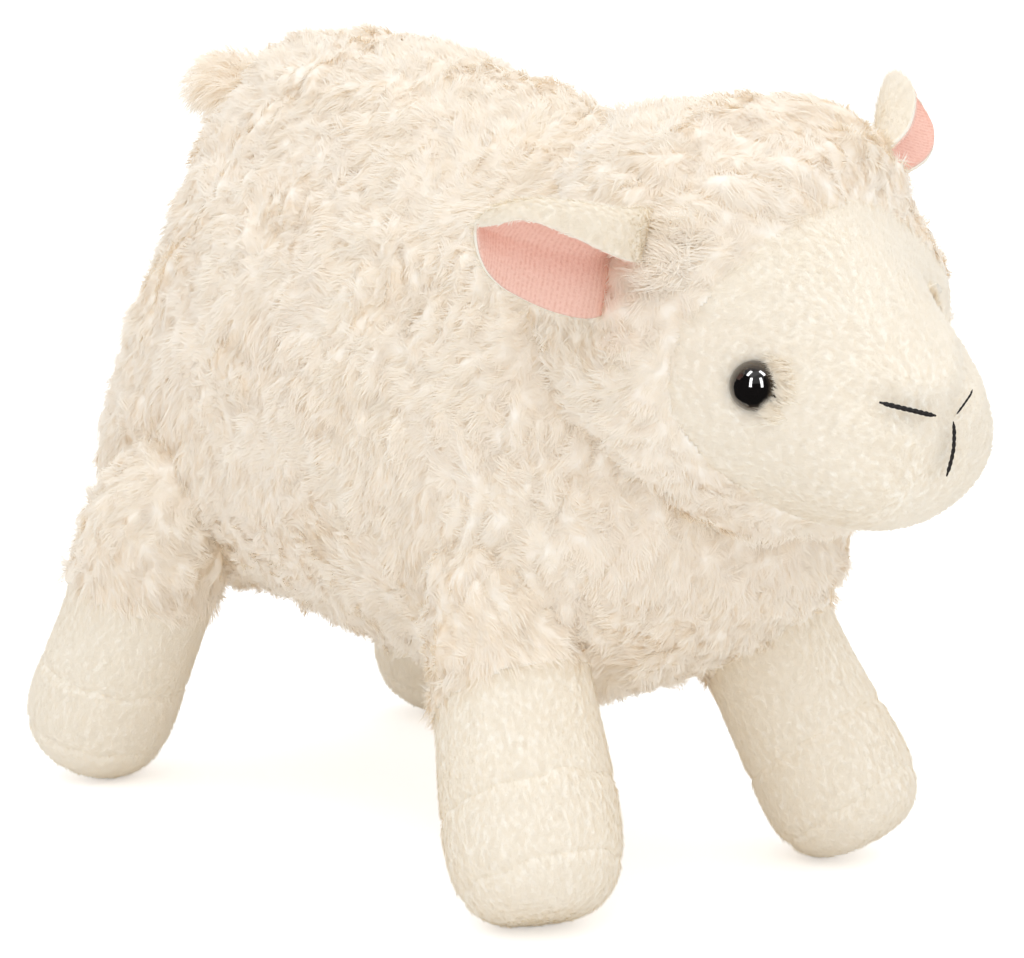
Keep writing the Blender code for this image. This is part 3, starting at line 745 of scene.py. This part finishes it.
def noise(tree, scale, detail=3.0):
    place = tree.nodes.new("ShaderNodeTexCoord")
    texture = put(tree.nodes.new("ShaderNodeTexNoise"), {"Scale": scale, "Detail": detail})
    tree.links.new(place.outputs["Object"], texture.inputs["Vector"])
    return texture.outputs["Fac"]


def ramp(tree, value, low, high):
    scale = put(tree.nodes.new("ShaderNodeMapRange"), {"From Min": low, "From Max": high})
    tree.links.new(value, scale.inputs["Value"])
    return scale.outputs["Result"]


def attribute(tree, name):
    node = tree.nodes.new("ShaderNodeAttribute")
    node.attribute_name = name
    return node.outputs["Fac"]


def bump(tree, shader, height, strength, distance):
    node = put(tree.nodes.new("ShaderNodeBump"), {"Strength": strength, "Distance": distance})
    tree.links.new(height, node.inputs["Height"])
    tree.links.new(node.outputs["Normal"], shader.inputs["Normal"])


def pile_material(name, root, deep, pale, warm, crease_shade):
    """Pile whose colour runs from its root to its tip, with warmer and paler patches, and a darker colour
    painted as shade in its creases.
    """
    material, tree, shader = node_material(name, 1.0, 0.1)
    varied = mix_colours(tree, ramp(tree, noise(tree, 28.0), 0.38, 0.64), pale, warm)
    varied = mix_colours(tree, ramp(tree, attribute(tree, "tone"), 0.0, 2.2), varied, deep)
    # Painted shade: the darker crease colour goes where the strand's crease mask is high
    varied = mix_colours(tree, ramp(tree, attribute(tree, "crease_shade"), 0.0, 1.4), varied, crease_shade)
    colour = mix_colours(tree, ramp(tree, attribute(tree, "tip"), 0.0, 0.45), root, varied)
    tree.links.new(colour, shader.inputs["Base Color"])
    return material


def mottled_material(name, first, second, scale, roughness, specular=None, rough_bump=None):
    """Two near colours mixed by noise; rough_bump: the scale, strength and distance of its grain."""
    material, tree, shader = node_material(name, roughness, specular)
    tree.links.new(mix_colours(tree, noise(tree, scale), first, second), shader.inputs["Base Color"])
    if rough_bump:
        grain, strength, distance = rough_bump
        bump(tree, shader, noise(tree, grain), strength, distance)
    return material


def plush_skin_material(name, pale, warm):
    material, tree, shader = node_material(name, 0.9, 0.2)
    colour = mix_colours(tree, ramp(tree, noise(tree, 40.0), 0.35, 0.65), pale, warm)
    tree.links.new(colour, shader.inputs["Base Color"])
    bump(tree, shader, noise(tree, 900.0, 4.0), 0.5, 0.0006)
    return material


def knit_material():
    """Fine rib knit: ribs along the ear with a cross grain of loops."""
    material, tree, shader = node_material("pink_knit", 0.95)
    place = tree.nodes.new("ShaderNodeUVMap")
    place.uv_map = "OFBake"
    ribs = put(tree.nodes.new("ShaderNodeTexWave"), {"Scale": 13.5, "Distortion": 0.8, "Detail": 2.0})
    ribs.bands_direction = "Y"
    tree.links.new(place.outputs["UV"], ribs.inputs["Vector"])
    grain = noise(tree, 1500.0, 2.0)
    ribbed = mix_colours(tree, ribs.outputs["Fac"], KNIT_VALLEY, KNIT_RIB)
    colour = mix_colours(tree, ramp(tree, grain, 0.3, 0.7), ribbed, KNIT_LOOP)
    tree.links.new(colour, shader.inputs["Base Color"])
    put(shader, {"Sheen Weight": 0.2})
    bump(tree, shader, grain, 0.5, 0.0004)
    return material


def eye_material():
    """Black gloss with a brown rim."""
    material, tree, shader = node_material("eye_gloss", 0.06)
    pupil = mix_colours(tree, noise(tree, 600.0), *PUPIL_COLOURS)
    colour = mix_colours(tree, ramp(tree, attribute(tree, "rim"), 0.66, 0.80), pupil, EYE_RIM_COLOUR)
    tree.links.new(colour, shader.inputs["Base Color"])
    put(shader, {"Coat Weight": 0.6, "Coat Roughness": 0.03})
    return material


FLEECE = pile_material("fleece_pile", *FLEECE_COLOURS)
PLUSH = pile_material("plush_pile", *PLUSH_COLOURS)
PLUSH_SKIN = plush_skin_material("plush_backing", *PLUSH_SKIN_COLOURS)
KNIT = knit_material()
FIBRE = mottled_material("fibre_filling", *FIBRE_COLOURS, 300.0, 1.0, rough_bump=(500.0, 0.6, 0.001))
EYE = eye_material()
WASHER = mottled_material("washer_plastic", *WASHER_COLOURS, 200.0, 0.45)
THREAD = mottled_material("mouth_thread", *THREAD_COLOURS, 2500.0, 0.8, 0.15, (3000.0, 0.6, 0.0003))
FLEECE_PILE = (FLEECE, "fleece", FLEECE_STYLE)
PLUSH_PILE = (PLUSH, "plush", PLUSH_STYLE)

# Forms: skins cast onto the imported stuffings
rng = np.random.default_rng(SEED)
body = push(wrap("body_stuffing", (0.0, 1.0, 0.0), 0.30, 110, 150, BODY_WALL, 3), BODY_PUSHES)
head = push(wrap("head_stuffing", (0.0, 0.0, 1.0), 0.0, 110, 130, PLUSH_WALL, 3), HEAD_PUSHES)
legs = {}
for leg in LEGS:
    axis = main_axis(cloud_of(leg + "_stuffing"))
    axis = axis if axis[2] > 0 else -axis
    legs[leg] = push(wrap(leg + "_stuffing", axis, 0.45, 80, 72, PLUSH_WALL, 2), LEG_PUSHES[leg])


def panel(name, skin, weight, count, flow, crease_shade_mask, length, pile, body_name="body", **changes):
    """Pile over a stretch of skin, in as many strips as keep each one light."""
    material, slot, style = pile
    style = dict(style, **changes)
    flat = np.zeros(skin.points.shape[:2])
    fields = (flow, crease_shade_mask + flat, length + flat)
    places = scatter(skin, weight, int(count * DENSITY))
    faces = len(places[0]) * style["locks"] * (2 * style.get("steps", 3) - 1)
    strips = math.ceil(faces / MOST_FACES)
    chosen = np.array_split(np.argsort(places[0], kind="stable"), strips)
    for number, part in enumerate(chosen, 1):
        title = name if strips == 1 else name + "_" + str(number)
        strip = tuple(values[part] for values in places)
        mesh = ribbons_mesh(title, *grow(skin, strip, *fields, **style))
        new_object(title, mesh, material, body_name)


def fleece(name, skin, weight, flow, crease_shade_mask, length):
    count = area_of(skin, weight) * LOCKS_PER_AREA
    panel(name, skin, weight, count, flow, crease_shade_mask, length, FLEECE_PILE)


def turns(points, wide, small, seeds):
    """Large and small turns of a pile's flow, about one to each size."""
    return WIDE_TURNS * waves(points, wide, seeds[0]) + SMALL_TURNS * waves(points, small, seeds[1])


def crease_shade_of(humps):
    """Where shade is painted: 1 in the dips between humps, 0 on the humps."""
    return np.clip(1.0 - 3.2 * humps, 0.0, 1.0)


def near(distance, reach):
    """1 at no distance, falling smoothly to 0 beyond the reach."""
    return np.exp(-(distance / reach) ** 2)


# Body fleece
buried = depth_in(body.points, head) - 0.002
for leg in LEGS:
    buried = np.maximum(buried, depth_in(body.points, legs[leg]) - UNDER_BODY)
body_coarse = body
body = Skin(resample(body.points, *BODY_GRID))
hidden = resample(buried, *BODY_GRID) > 0.0
body_humps = tufts(body.points, HUMP_SIZE, 3)
body_base = body.offset(-BODY_SINK + BODY_HUMP * body_humps)
piece = fleece_backing("body_fleece_backing", body_base)
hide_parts("body_skin")

down = np.array((0.0, 0.55, -0.85))
back = np.array((0.0, 1.0, 0.0))
topness = np.clip(body.normals[..., 2:3], 0.0, 1.0) ** 2
body_flow = down * (1.0 - topness) + back * topness + turns(body.points, 0.045, 0.012, (5, 6))
body_length = PILE["body"] + PILE_VARIES * waves(body.points, 0.02, 7, 1)[..., 0]
# Random patches that set where the painted crease shade is strong
patches = np.clip(0.5 + 0.8 * waves(body.points, 0.05, 31, 1)[..., 0], 0.0, 1.0)
x, y = body.points[..., 0], body.points[..., 1]
front = y < y.mean()
upper = body.normals[..., 2] > 0.62
lower = body.normals[..., 2] < -0.55
side = ~upper & ~lower
zones = {
    "back_front": upper & front,
    "back_rear": upper & ~front,
    "belly": lower,
    "flank_right_front": side & (x < 0) & front,
    "flank_right_rear": side & (x < 0) & ~front,
    "flank_left_front": side & (x >= 0) & front,
    "flank_left_rear": side & (x >= 0) & ~front,
}
# Painted shade in the dips between humps, stronger in some patches
body_crease_shade = crease_shade_of(body_humps) * patches
for zone, chosen in zones.items():
    weight = (chosen & ~hidden).astype(float)
    fleece("body_fleece_" + zone, body_base, weight, body_flow, body_crease_shade, body_length)


# Mouth: two-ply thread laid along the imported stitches
def nose_place():
    low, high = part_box("philtrum")
    return np.array((*((low + high) / 2.0)[:2], high[2]))


def stitch_path(node, start, end):
    """Points along a packed stitch from its nose end, between two shares of its length."""
    cloud = cloud_of(node)
    middle = cloud.mean(axis=0)
    axis = main_axis(cloud)
    nose = nose_place()
    if np.linalg.norm(middle + axis * 0.01 - nose) < np.linalg.norm(middle - axis * 0.01 - nose):
        axis = -axis
    place = (cloud - middle) @ axis
    edges = np.linspace(place.min(), place.max(), 10)
    stops = []
    for low, high in zip(edges[:-1], edges[1:]):
        chosen = (place >= low - 1e-6) & (place <= high + 1e-6)
        if chosen.any():
            stops.append(cloud[chosen].mean(axis=0))
    stops = np.array(stops)
    reach = reach_along(stops)
    at = np.linspace(start, end, STITCH_STOPS) * reach[-1]
    return np.stack([np.interp(at, reach, stops[:, i]) for i in range(3)], axis=-1)


def head_normal(point):
    _, normal, _, _ = head_tree.find_nearest(Vector(point))
    out = Vector(point) - Vector(head.points.mean(axis=(0, 1)))
    return np.array(normal if normal.dot(out) > 0.0 else -normal)


def turned(angle, side, lift):
    return math.cos(angle) * side + math.sin(angle) * lift


def thread_mesh(name, path, radius):
    """Two plies that turn round each other, thinner towards both ends."""
    bm = bmesh.new()
    tangents = unit(np.gradient(path, axis=0))
    sides = unit(np.cross(tangents, np.array([head_normal(p) for p in path])))
    lifts = unit(np.cross(sides, tangents))
    reach = reach_along(path)
    angles = math.tau * np.arange(THREAD_SIDES) / THREAD_SIDES
    for ply in range(2):
        rings = []
        for index, (point, side, lift) in enumerate(zip(path, sides, lifts)):
            turn = math.tau * reach[index] / STITCH_PITCH + math.pi * ply
            share = index / (len(path) - 1)
            thick = radius * min(1.0, 5.0 * share + 0.35, 5.0 * (1.0 - share) + 0.35)
            centre = point + turned(turn, side, lift) * thick * PLY_SHARE
            rings.append([bm.verts.new(centre + turned(angle, side, lift) * thick) for angle in angles])
        bridge(bm, rings)
    return mesh_from(name, bm)


# Head
mouth_lines = np.concatenate([stitch_path(node, 0.0, 1.0) for node in MOUTH])
from_mouth = distance_to(head.points, mouth_lines)
groove = GROOVE * near(from_mouth, GROOVE_REACH)
puff = PUFF * near(from_mouth - PUFF_PLACE, PUFF_REACH)
head = head.offset(-groove + puff)
is_hood = label(head.points, ("face", "hood")) == 1
from_face = resample(distance_to(head.points, head.points[~is_hood]), *HEAD_GRID)
from_hood = resample(distance_to(head.points, head.points[is_hood]), *HEAD_GRID)
in_body = resample(depth_in(head.points, body_coarse), *HEAD_GRID)
head = Skin(resample(head.points, *HEAD_GRID))
is_hood = from_face > from_hood
# Painted shade along the seam between the face and the hood
seam_shade = near(from_face - from_hood, SEAM_REACH)
face_shape = head.offset(-FACE_SINK)
piece = plush_backing("face_skin", face_shape, from_face < 0.006, FACE_WALL)
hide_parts("face")
ease = np.clip(from_face / HOOD_EASE, 0.0, 1.0)
head_humps = tufts(head.points, HUMP_SIZE, 8)
hood_height = HOOD_HUMP + HOOD_HUMP_GROWTH * ease
hood_base = head.offset(-HOOD_SINK + HOOD_SWELL * ease + hood_height * head_humps)
# Painted shade in the dips between humps and along the face seam
hood_crease_shade = np.maximum(crease_shade_of(head_humps) * 0.7, seam_shade * 0.8)
piece = fleece_backing("hood_fleece_backing", hood_base, from_hood < 0.002, BACKING)
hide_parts("hood")
hood_length = PILE["hood"] + 0.0010 * ease + PILE_VARIES * waves(head.points, 0.02, 9, 1)[..., 0]
head_top = np.clip(head.normals[..., 2:3], 0.0, 1.0)
hood_flow = np.array((0.0, 0.5, -0.9)) * (1.0 - head_top) + np.array((-0.2, 0.9, 0.0)) * head_top
hood_flow = hood_flow + turns(head.points, 0.04, 0.011, (10, 12))
hood_weight = (is_hood & (in_body < 0.006)).astype(float)

# The pile lies apart along a short line on the crown, over a pale strip of backing
parting_line = np.concatenate([np.linspace(a, b, 12) for a, b in zip(PARTING[:-1], PARTING[1:])])
from_parting = distance_to(head.points, parting_line)
aside = unit(np.cross(parting_line[-1] - parting_line[0], (0.0, 0.0, 1.0)))
across = (head.points - parting_line.mean(axis=0)) @ aside
parted = 2.5 * near(from_parting, PARTING_REACH) * np.tanh(across / 0.0008)
hood_flow = hood_flow + parted[..., None] * aside
hood_weight = hood_weight * (1.0 - 0.95 * near(from_parting, PARTING_BARE))
right_half = head.points[..., 0] < 0.006
for name, zone in (("hood_fleece_right", right_half), ("hood_fleece_left", ~right_half)):
    fleece(name, hood_base, hood_weight * zone, hood_flow, hood_crease_shade, hood_length)

face_weight = (~is_hood).astype(float)
apart = 0.6 * np.tanh(head.points[..., :1] / 0.008) * np.array((1.0, 0.0, 0.0))
face_flow = np.array((0.0, 0.9, 0.1)) + 0.25 * waves(head.points, 0.03, 14) + apart
# Painted shade on the face plush along its seam with the hood
face_crease_shade = 0.6 * seam_shade
panel("face_plush_pile", face_shape, face_weight, area_of(face_shape, face_weight) * FUZZ_PER_AREA,
      face_flow, face_crease_shade, PILE["face"], PLUSH_PILE)


# Eyes: a glossy dome with a brown rim, and plush that leans over it from the nose side
def dome_mesh(name, place, normal):
    bm = bmesh.new()
    mark = bm.verts.layers.float.new("rim")
    side = unit(np.cross(normal, (0.0, 0.0, 1.0)))
    third = np.cross(normal, side)
    bulge = (EYE_RADIUS ** 2 + EYE_HEIGHT ** 2) / (2.0 * EYE_HEIGHT)
    widest = math.asin(min(1.0, EYE_RADIUS / bulge))
    levels = [(EYE_RADIUS, -EYE_SUNK)]
    for turn in np.linspace(widest, EYE_FLAT_TOP, EYE_LEVELS):
        levels.append((bulge * math.sin(turn), EYE_HEIGHT - bulge + bulge * math.cos(turn)))
    rings = []
    for out, up in levels:
        ring = []
        for step in range(EYE_SIDES):
            around = turned(math.tau * step / EYE_SIDES, side, third)
            ring.append(bm.verts.new(np.array(place) + normal * up + around * out))
            ring[-1][mark] = out / EYE_RADIUS
        rings.append(ring)
    bridge(bm, rings)
    return mesh_from(name, bm)


for eye, (place, normal) in EYES.items():
    normal = unit(np.array(normal))
    piece = new_object(eye + "_dome", dome_mesh(eye + "_dome", place, normal), EYE, "body")
    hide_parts(eye)
    toward = nose_place() - np.array(place)
    toward = unit(toward - (toward @ normal) * normal)
    upward = np.cross(normal, toward)
    tuft_weight = 0.0
    for lean in TUFT_LEANS:
        spot = np.array(place) + 0.0074 * turned(lean, toward, upward)
        tuft_weight = tuft_weight + near(np.linalg.norm(head.points - spot, axis=-1), 0.0018)
    tuft_flow = np.zeros_like(head.points) - toward + 0.4 * waves(head.points, 0.008, 28)
    # The tufts take the face's painted seam shade
    panel(eye + "_tuft", face_shape, tuft_weight, EYE_TUFT_LOCKS, tuft_flow, face_crease_shade, PILE["eye_tuft"],
          PLUSH_PILE, start=1.15, end=0.60, spread=0.0005, clump=0.8, steps=3, soft=0.0)


# Legs
def dress_sleeve(name, skin, mine, from_mine, from_rest, heading):
    """Fleece at the top of a leg, longest where it hangs over the plush, with painted shade in the dips
    between its humps.
    """
    humps = tufts(skin.points, HUMP_SIZE, 16)
    base = skin.offset(-SLEEVE_SINK + SLEEVE_HUMP * humps)
    piece = fleece_backing(name + "_backing", base, from_mine < OVERLAP, BACKING)
    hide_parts(name)
    flow = heading + turns(skin.points, 0.03, 0.012, (17, 18))
    length = PILE["sleeve"] + HEM_GROWTH * near(from_rest, HEM_REACH)
    fleece(name + "_fleece", base, mine, flow, 0.7 * crease_shade_of(humps), length)


def dress_plush(name, skin, mine, from_mine, from_rest, heading):
    """Short plush on a lower part of a leg, tucked in at its seams, with painted shade along them."""
    seam = near(from_rest, SEAM_REACH)
    base = skin.offset(-LEG_SINK - SEAM_TUCK * seam)
    piece = plush_backing(name + "_skin", base, from_mine < OVERLAP, BACKING)
    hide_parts(name)
    count = area_of(base, mine) * FUZZ_PER_AREA * 0.8
    flow = heading + 0.3 * waves(skin.points, 0.03, 19)
    # Half the seam mask is painted shade along the seams
    panel(name + "_pile", base, mine, count, flow, 0.5 * seam, PILE["leg"], PLUSH_PILE)


for leg, coarse in legs.items():
    which = label(coarse.points, [leg + "_" + part for part in LEG_PIECES])
    heading = -unit(coarse.points[0].mean(axis=0) - coarse.points[-1].mean(axis=0))
    outside = resample(depth_in(coarse.points, body_coarse), *LEG_GRID) < UNDER_BODY
    skin = Skin(resample(coarse.points, *LEG_GRID))
    for index, part in enumerate(LEG_PIECES):
        from_mine = resample(distance_to(coarse.points, coarse.points[which == index]), *LEG_GRID)
        from_rest = resample(distance_to(coarse.points, coarse.points[which != index]), *LEG_GRID)
        mine = ((from_mine < from_rest) & outside).astype(float)
        dress = dress_sleeve if part == "sleeve" else dress_plush
        dress(leg + "_" + part, skin, mine, from_mine, from_rest, heading)


# Ears: a sheet with its top edge folded over towards the lining, its root curled into the head
def cross_path(low, top, over, section):
    """One cut across the leaf: its hollow, then the flap that is folded over by this much."""
    width = top - low
    fade = min(1.0, width / 0.018)
    curl = min(0.0017, width / 6.0)
    path = [(low + share * width, depth * fade) for share, depth in section]
    last = path[-1][1]
    if over > 0.0:
        flap = ((top - 0.3 * curl, last - 1.5 * curl), (top - 1.2 * curl, last - 1.9 * curl),
                (top - max(over, 1.5 * curl), last - 1.7 * curl - FLAP_LIFT * over))
    else:
        flap = [(top - step * curl / 4.0, last - step * curl) for step in (0.2, 0.4, 0.6)]
    return np.array(path + list(flap))


def sheet(origin, axes, outline, section, flap, rows=40, columns=64):
    """Points of a folded leaf. outline: (along, low edge, top edge), section: (share across, depth)."""
    stops, lows, tops = np.array(outline).T
    flap_stops, flaps = np.array(flap).T
    along = stops[0] + (stops[-1] - stops[0]) * (1.0 - (1.0 - np.linspace(0.0, 1.0, rows)) ** 1.6)
    edges = np.interp(along, stops, lows), np.interp(along, stops, tops), np.interp(along, flap_stops, flaps)
    places = []
    for at, low, top, over in zip(along, *edges):
        path = cross_path(low, top, over, section)
        reach = reach_along(path)
        shares = np.linspace(0.0, reach[-1], columns)
        across = softened(np.interp(shares, reach, path[:, 0]), 10)
        depth = softened(np.interp(shares, reach, path[:, 1]), 10)
        depth = depth + ROOT_SINK * max(0.0, (ROOT_BEND - at) / ROOT_BEND) ** 2
        places.append(np.array(origin) + at * axes[0] + across[:, None] * axes[1] + depth[:, None] * axes[2])
    return softened(np.array(places), 3)


class Leaf(Skin):
    """An open sheet with one good side."""

    closed = False

    def __init__(self, points, toward):
        self.points = points
        self.rows, self.columns = points.shape[:2]
        self.along = np.gradient(points, axis=0)
        self.around = np.gradient(points, axis=1)
        self.toward = toward
        self.normals = unit(np.cross(self.around, self.along)) * toward

    def offset(self, distance):
        return Leaf(self.points + self.normals * distance, self.toward)

    def faces(self):
        return [face for index, face in enumerate(super().faces()) if (index + 1) % self.columns]


def leaf_piece(name, leaf, thickness, tip, material, ear):
    mesh = bpy.data.meshes.new(name)
    flat = leaf.points.reshape(-1, 3)
    mesh.from_pydata([tuple(p) for p in flat], [], leaf.faces())
    index = np.empty(len(mesh.loops), dtype=np.int32)
    mesh.loops.foreach_get("vertex_index", index)
    row, column = np.divmod(index, leaf.columns)
    shares = np.stack([column / (leaf.columns - 1), row / (leaf.rows - 1)], axis=-1)
    fill(mesh.uv_layers.new(name="OFBake").data, "uv", shares * 0.98 + 0.01)
    fill(mesh.attributes.new("tip", "FLOAT", "POINT").data, "value", np.full(len(flat), tip))
    solid = thickened(mesh, thickness, 0.0)
    solid.shade_smooth()
    return new_object(name, solid, material, ear)


def view_axis(shares):
    return np.array(sum((axis * share for axis, share in zip(VIEW_AXES, shares)), Vector()).normalized())


for ear, design in EAR_DESIGNS.items():
    axes = [view_axis(shares) for shares in design["axes"]]
    outline = np.array(design["outline"]) * MILLIMETRE
    section = [(share, depth * MILLIMETRE) for share, depth in design["section"]]
    points = sheet(design["origin"], axes, outline, section, np.array(design["flap"]) * MILLIMETRE)
    middle_normal = Leaf(points, 1.0).normals[4:20, 8:24].mean(axis=(0, 1))
    toward = -1.0 if middle_normal @ axes[2] > 0.0 else 1.0
    lining = Leaf(points, toward).offset(LINING_LIFT)
    backing = Leaf(points, -toward).offset(EAR_BACK_LIFT)
    piece = leaf_piece(ear + "_lining_knit", lining, LINING_WALL, 0.5, KNIT, ear)
    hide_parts(ear + "_lining")
    piece = leaf_piece(ear + "_plush_skin", backing, EAR_BACK_WALL, PLUSH_TIP, PLUSH_SKIN, ear)
    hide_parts(ear + "_back")
    cover = backing.offset(COVER_LIFT)
    if ear == "ear_right":
        spot = np.array(design["origin"]) - 0.0075 * axes[0] + 0.006 * axes[1]
        root_weight = near(np.linalg.norm(head.points - spot, axis=-1), 0.0046)
        root_flow = axes[0] + 0.3 * waves(head.points, 0.01, 29)
        # The root tufts take the hood's painted crease shade
        panel(ear + "_root_tufts", hood_base, root_weight, EAR_ROOT_LOCKS, root_flow, hood_crease_shade,
              PILE["ear_root"], FLEECE_PILE, start=0.90, end=0.15, clump=0.60, soft=0.6)
    ear_weight = np.ones(points.shape[:2])
    ear_weight[:, -1] = 0.0
    ear_flow = axes[0] - 0.35 * axes[1] + 0.3 * waves(points, 0.02, 22)
    count = area_of(cover, ear_weight) * EAR_FUZZ_PER_AREA
    panel(ear + "_pile", cover, ear_weight, count, ear_flow, 0.0, PILE["ear"], PLUSH_PILE, ear,
          start=0.6, end=0.15)

# Tail: a small drooping pad of fleece
tail = wrap("tail", (0.0, 0.978, 0.208), 0.2, 60, 66, -0.0015, 3)
tail_root = frame["bodies"]["tail"].matrix_world.translation
far = np.clip((tail.points[..., 1:2] - tail_root[1]) / 0.03, 0.0, 1.2)
tail = Skin(tail.points + np.array(TAIL_DROOP) * far ** 1.5 + np.array(TAIL_RISE))
piece = fleece_backing("tail_backing", tail, tip=0.3, body_name="tail")
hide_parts("tail")
tail_flow = np.array((-0.15, 0.9, -0.5)) + 0.6 * waves(tail.points, 0.02, 25)
tail_weight = np.ones(tail.points.shape[:2])
tail_locks = area_of(tail, tail_weight) * LOCKS_PER_AREA * 1.2
panel("tail_fleece", tail, tail_weight, tail_locks, tail_flow, 0.0, PILE["tail"], FLEECE_PILE, "tail",
      start=0.75, end=0.30, droop=0.55, clump=0.65, soft=0.3)

# Mouth threads
head_tree = head.tree()
for node, (start, end, radius) in MOUTH.items():
    thread = thread_mesh(node + "_thread", stitch_path(node, start, end), radius)
    piece = new_object(node + "_thread", thread, THREAD, "body")
    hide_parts(node)

# Nodes that stay as they were packed, in their own materials
for name, node in frame["nodes"].items():
    if name.endswith("stuffing") or name.startswith("washer"):
        node.data.materials.clear()
        node.data.materials.append(WASHER if name.startswith("washer") else FIBRE)


def background(tree, colour, strength):
    values = {"Color": (*colour, 1.0), "Strength": strength}
    return put(tree.nodes.new("ShaderNodeBackground"), values).outputs[0]


def either(tree, chosen, first, second):
    """The second shader where the light path is the chosen one, else the first."""
    mix = tree.nodes.new("ShaderNodeMixShader")
    for index, value in enumerate((chosen, first, second)):
        tree.links.new(value, mix.inputs[index])
    return mix.outputs[0]


def make_world():
    """Even light from all round, which the camera sees as white and gloss hardly mirrors."""
    world = bpy.data.worlds.new("studio")
    bpy.context.scene.world = world
    world.use_nodes = True
    tree = world.node_tree
    tree.nodes.clear()
    output = tree.nodes.new("ShaderNodeOutputWorld")
    path = tree.nodes.new("ShaderNodeLightPath")
    lit = background(tree, (0.97, 0.98, 1.0), WORLD_STRENGTH)
    lit = either(tree, path.outputs["Is Glossy Ray"], lit, background(tree, WHITE, 0.03))
    seen = either(tree, path.outputs["Is Camera Ray"], lit, background(tree, WHITE, 1.0))
    tree.links.new(seen, output.inputs["Surface"])


def make_floor():
    """White paper that glows a little to the camera, so it ends in the white behind it."""
    mesh = bpy.data.meshes.new("floor")
    bm = bmesh.new()
    bmesh.ops.create_grid(bm, x_segments=1, y_segments=1, size=6.0)
    bm.to_mesh(mesh)
    bm.free()
    floor = placed("floor", mesh)
    material, tree, shader = node_material("floor_paper", 0.9, 0.1)
    put(shader, {"Base Color": (0.90, 0.90, 0.90, 1.0), "Emission Color": (*WHITE, 1.0)})
    path = tree.nodes.new("ShaderNodeLightPath")
    glow = tree.nodes.new("ShaderNodeMath")
    glow.operation = "MULTIPLY"
    glow.inputs[1].default_value = 0.45
    tree.links.new(path.outputs["Is Camera Ray"], glow.inputs[0])
    tree.links.new(glow.outputs[0], shader.inputs["Emission Strength"])
    mesh.materials.append(material)
    floor.visible_glossy = False


def aimed(name, data, place, aim):
    """A lamp or camera at this place that looks at its aim."""
    thing = placed(name, data)
    thing.location = place
    thing.rotation_mode = "QUATERNION"
    thing.rotation_quaternion = (aim - place).to_track_quat("-Z", "Y")
    return thing


def area(name, place, size, energy, aim=TARGET, mirror_only=False):
    data = bpy.data.lights.new(name, "AREA")
    data.shape = "RECTANGLE"
    data.size, data.size_y = size
    data.energy = energy
    aimed(name, data, Vector(place), aim).visible_diffuse = not mirror_only


def make_lights(away, level_axis):
    area("key", (-0.6, -1.3, 1.7), (2.2, 2.2), 8.0)
    area("top", (0.0, 0.2, 2.2), (3.2, 3.2), 15.0)
    high_axis = away.cross(level_axis)
    for name, (across, up, width, height) in GLINTS.items():
        front = math.sqrt(1.0 - across ** 2 - up ** 2)
        facing = (level_axis * across + high_axis * up + away * front).normalized()
        way = 2.0 * facing.dot(away) * facing - away
        size = (WINDOW_DISTANCE * 2.0 * width, WINDOW_DISTANCE * 2.0 * height)
        power = WINDOW_GLOW * math.pi * size[0] * size[1]
        area(name, EYE_PLACE + way * WINDOW_DISTANCE, size, power, EYE_PLACE, True)


def make_camera(away):
    data = bpy.data.cameras.new("camera")
    data.lens = LENS
    data.sensor_fit = "HORIZONTAL"
    data.sensor_width = 36.0
    data.shift_x, data.shift_y = SHIFT
    bpy.context.scene.camera = aimed("camera", data, TARGET + away * DISTANCE, TARGET)


# Studio
level = math.cos(ELEVATION)
away = Vector((math.sin(AZIMUTH) * level, -math.cos(AZIMUTH) * level, math.sin(ELEVATION)))
make_world()
make_floor()
make_lights(away, Vector((math.cos(AZIMUTH), math.sin(AZIMUTH), 0.0)))
make_camera(away)
bpy.context.scene.view_settings.view_transform = "Standard"
bpy.context.scene.cycles.max_bounces = 24
bpy.context.scene.cycles.diffuse_bounces = 16
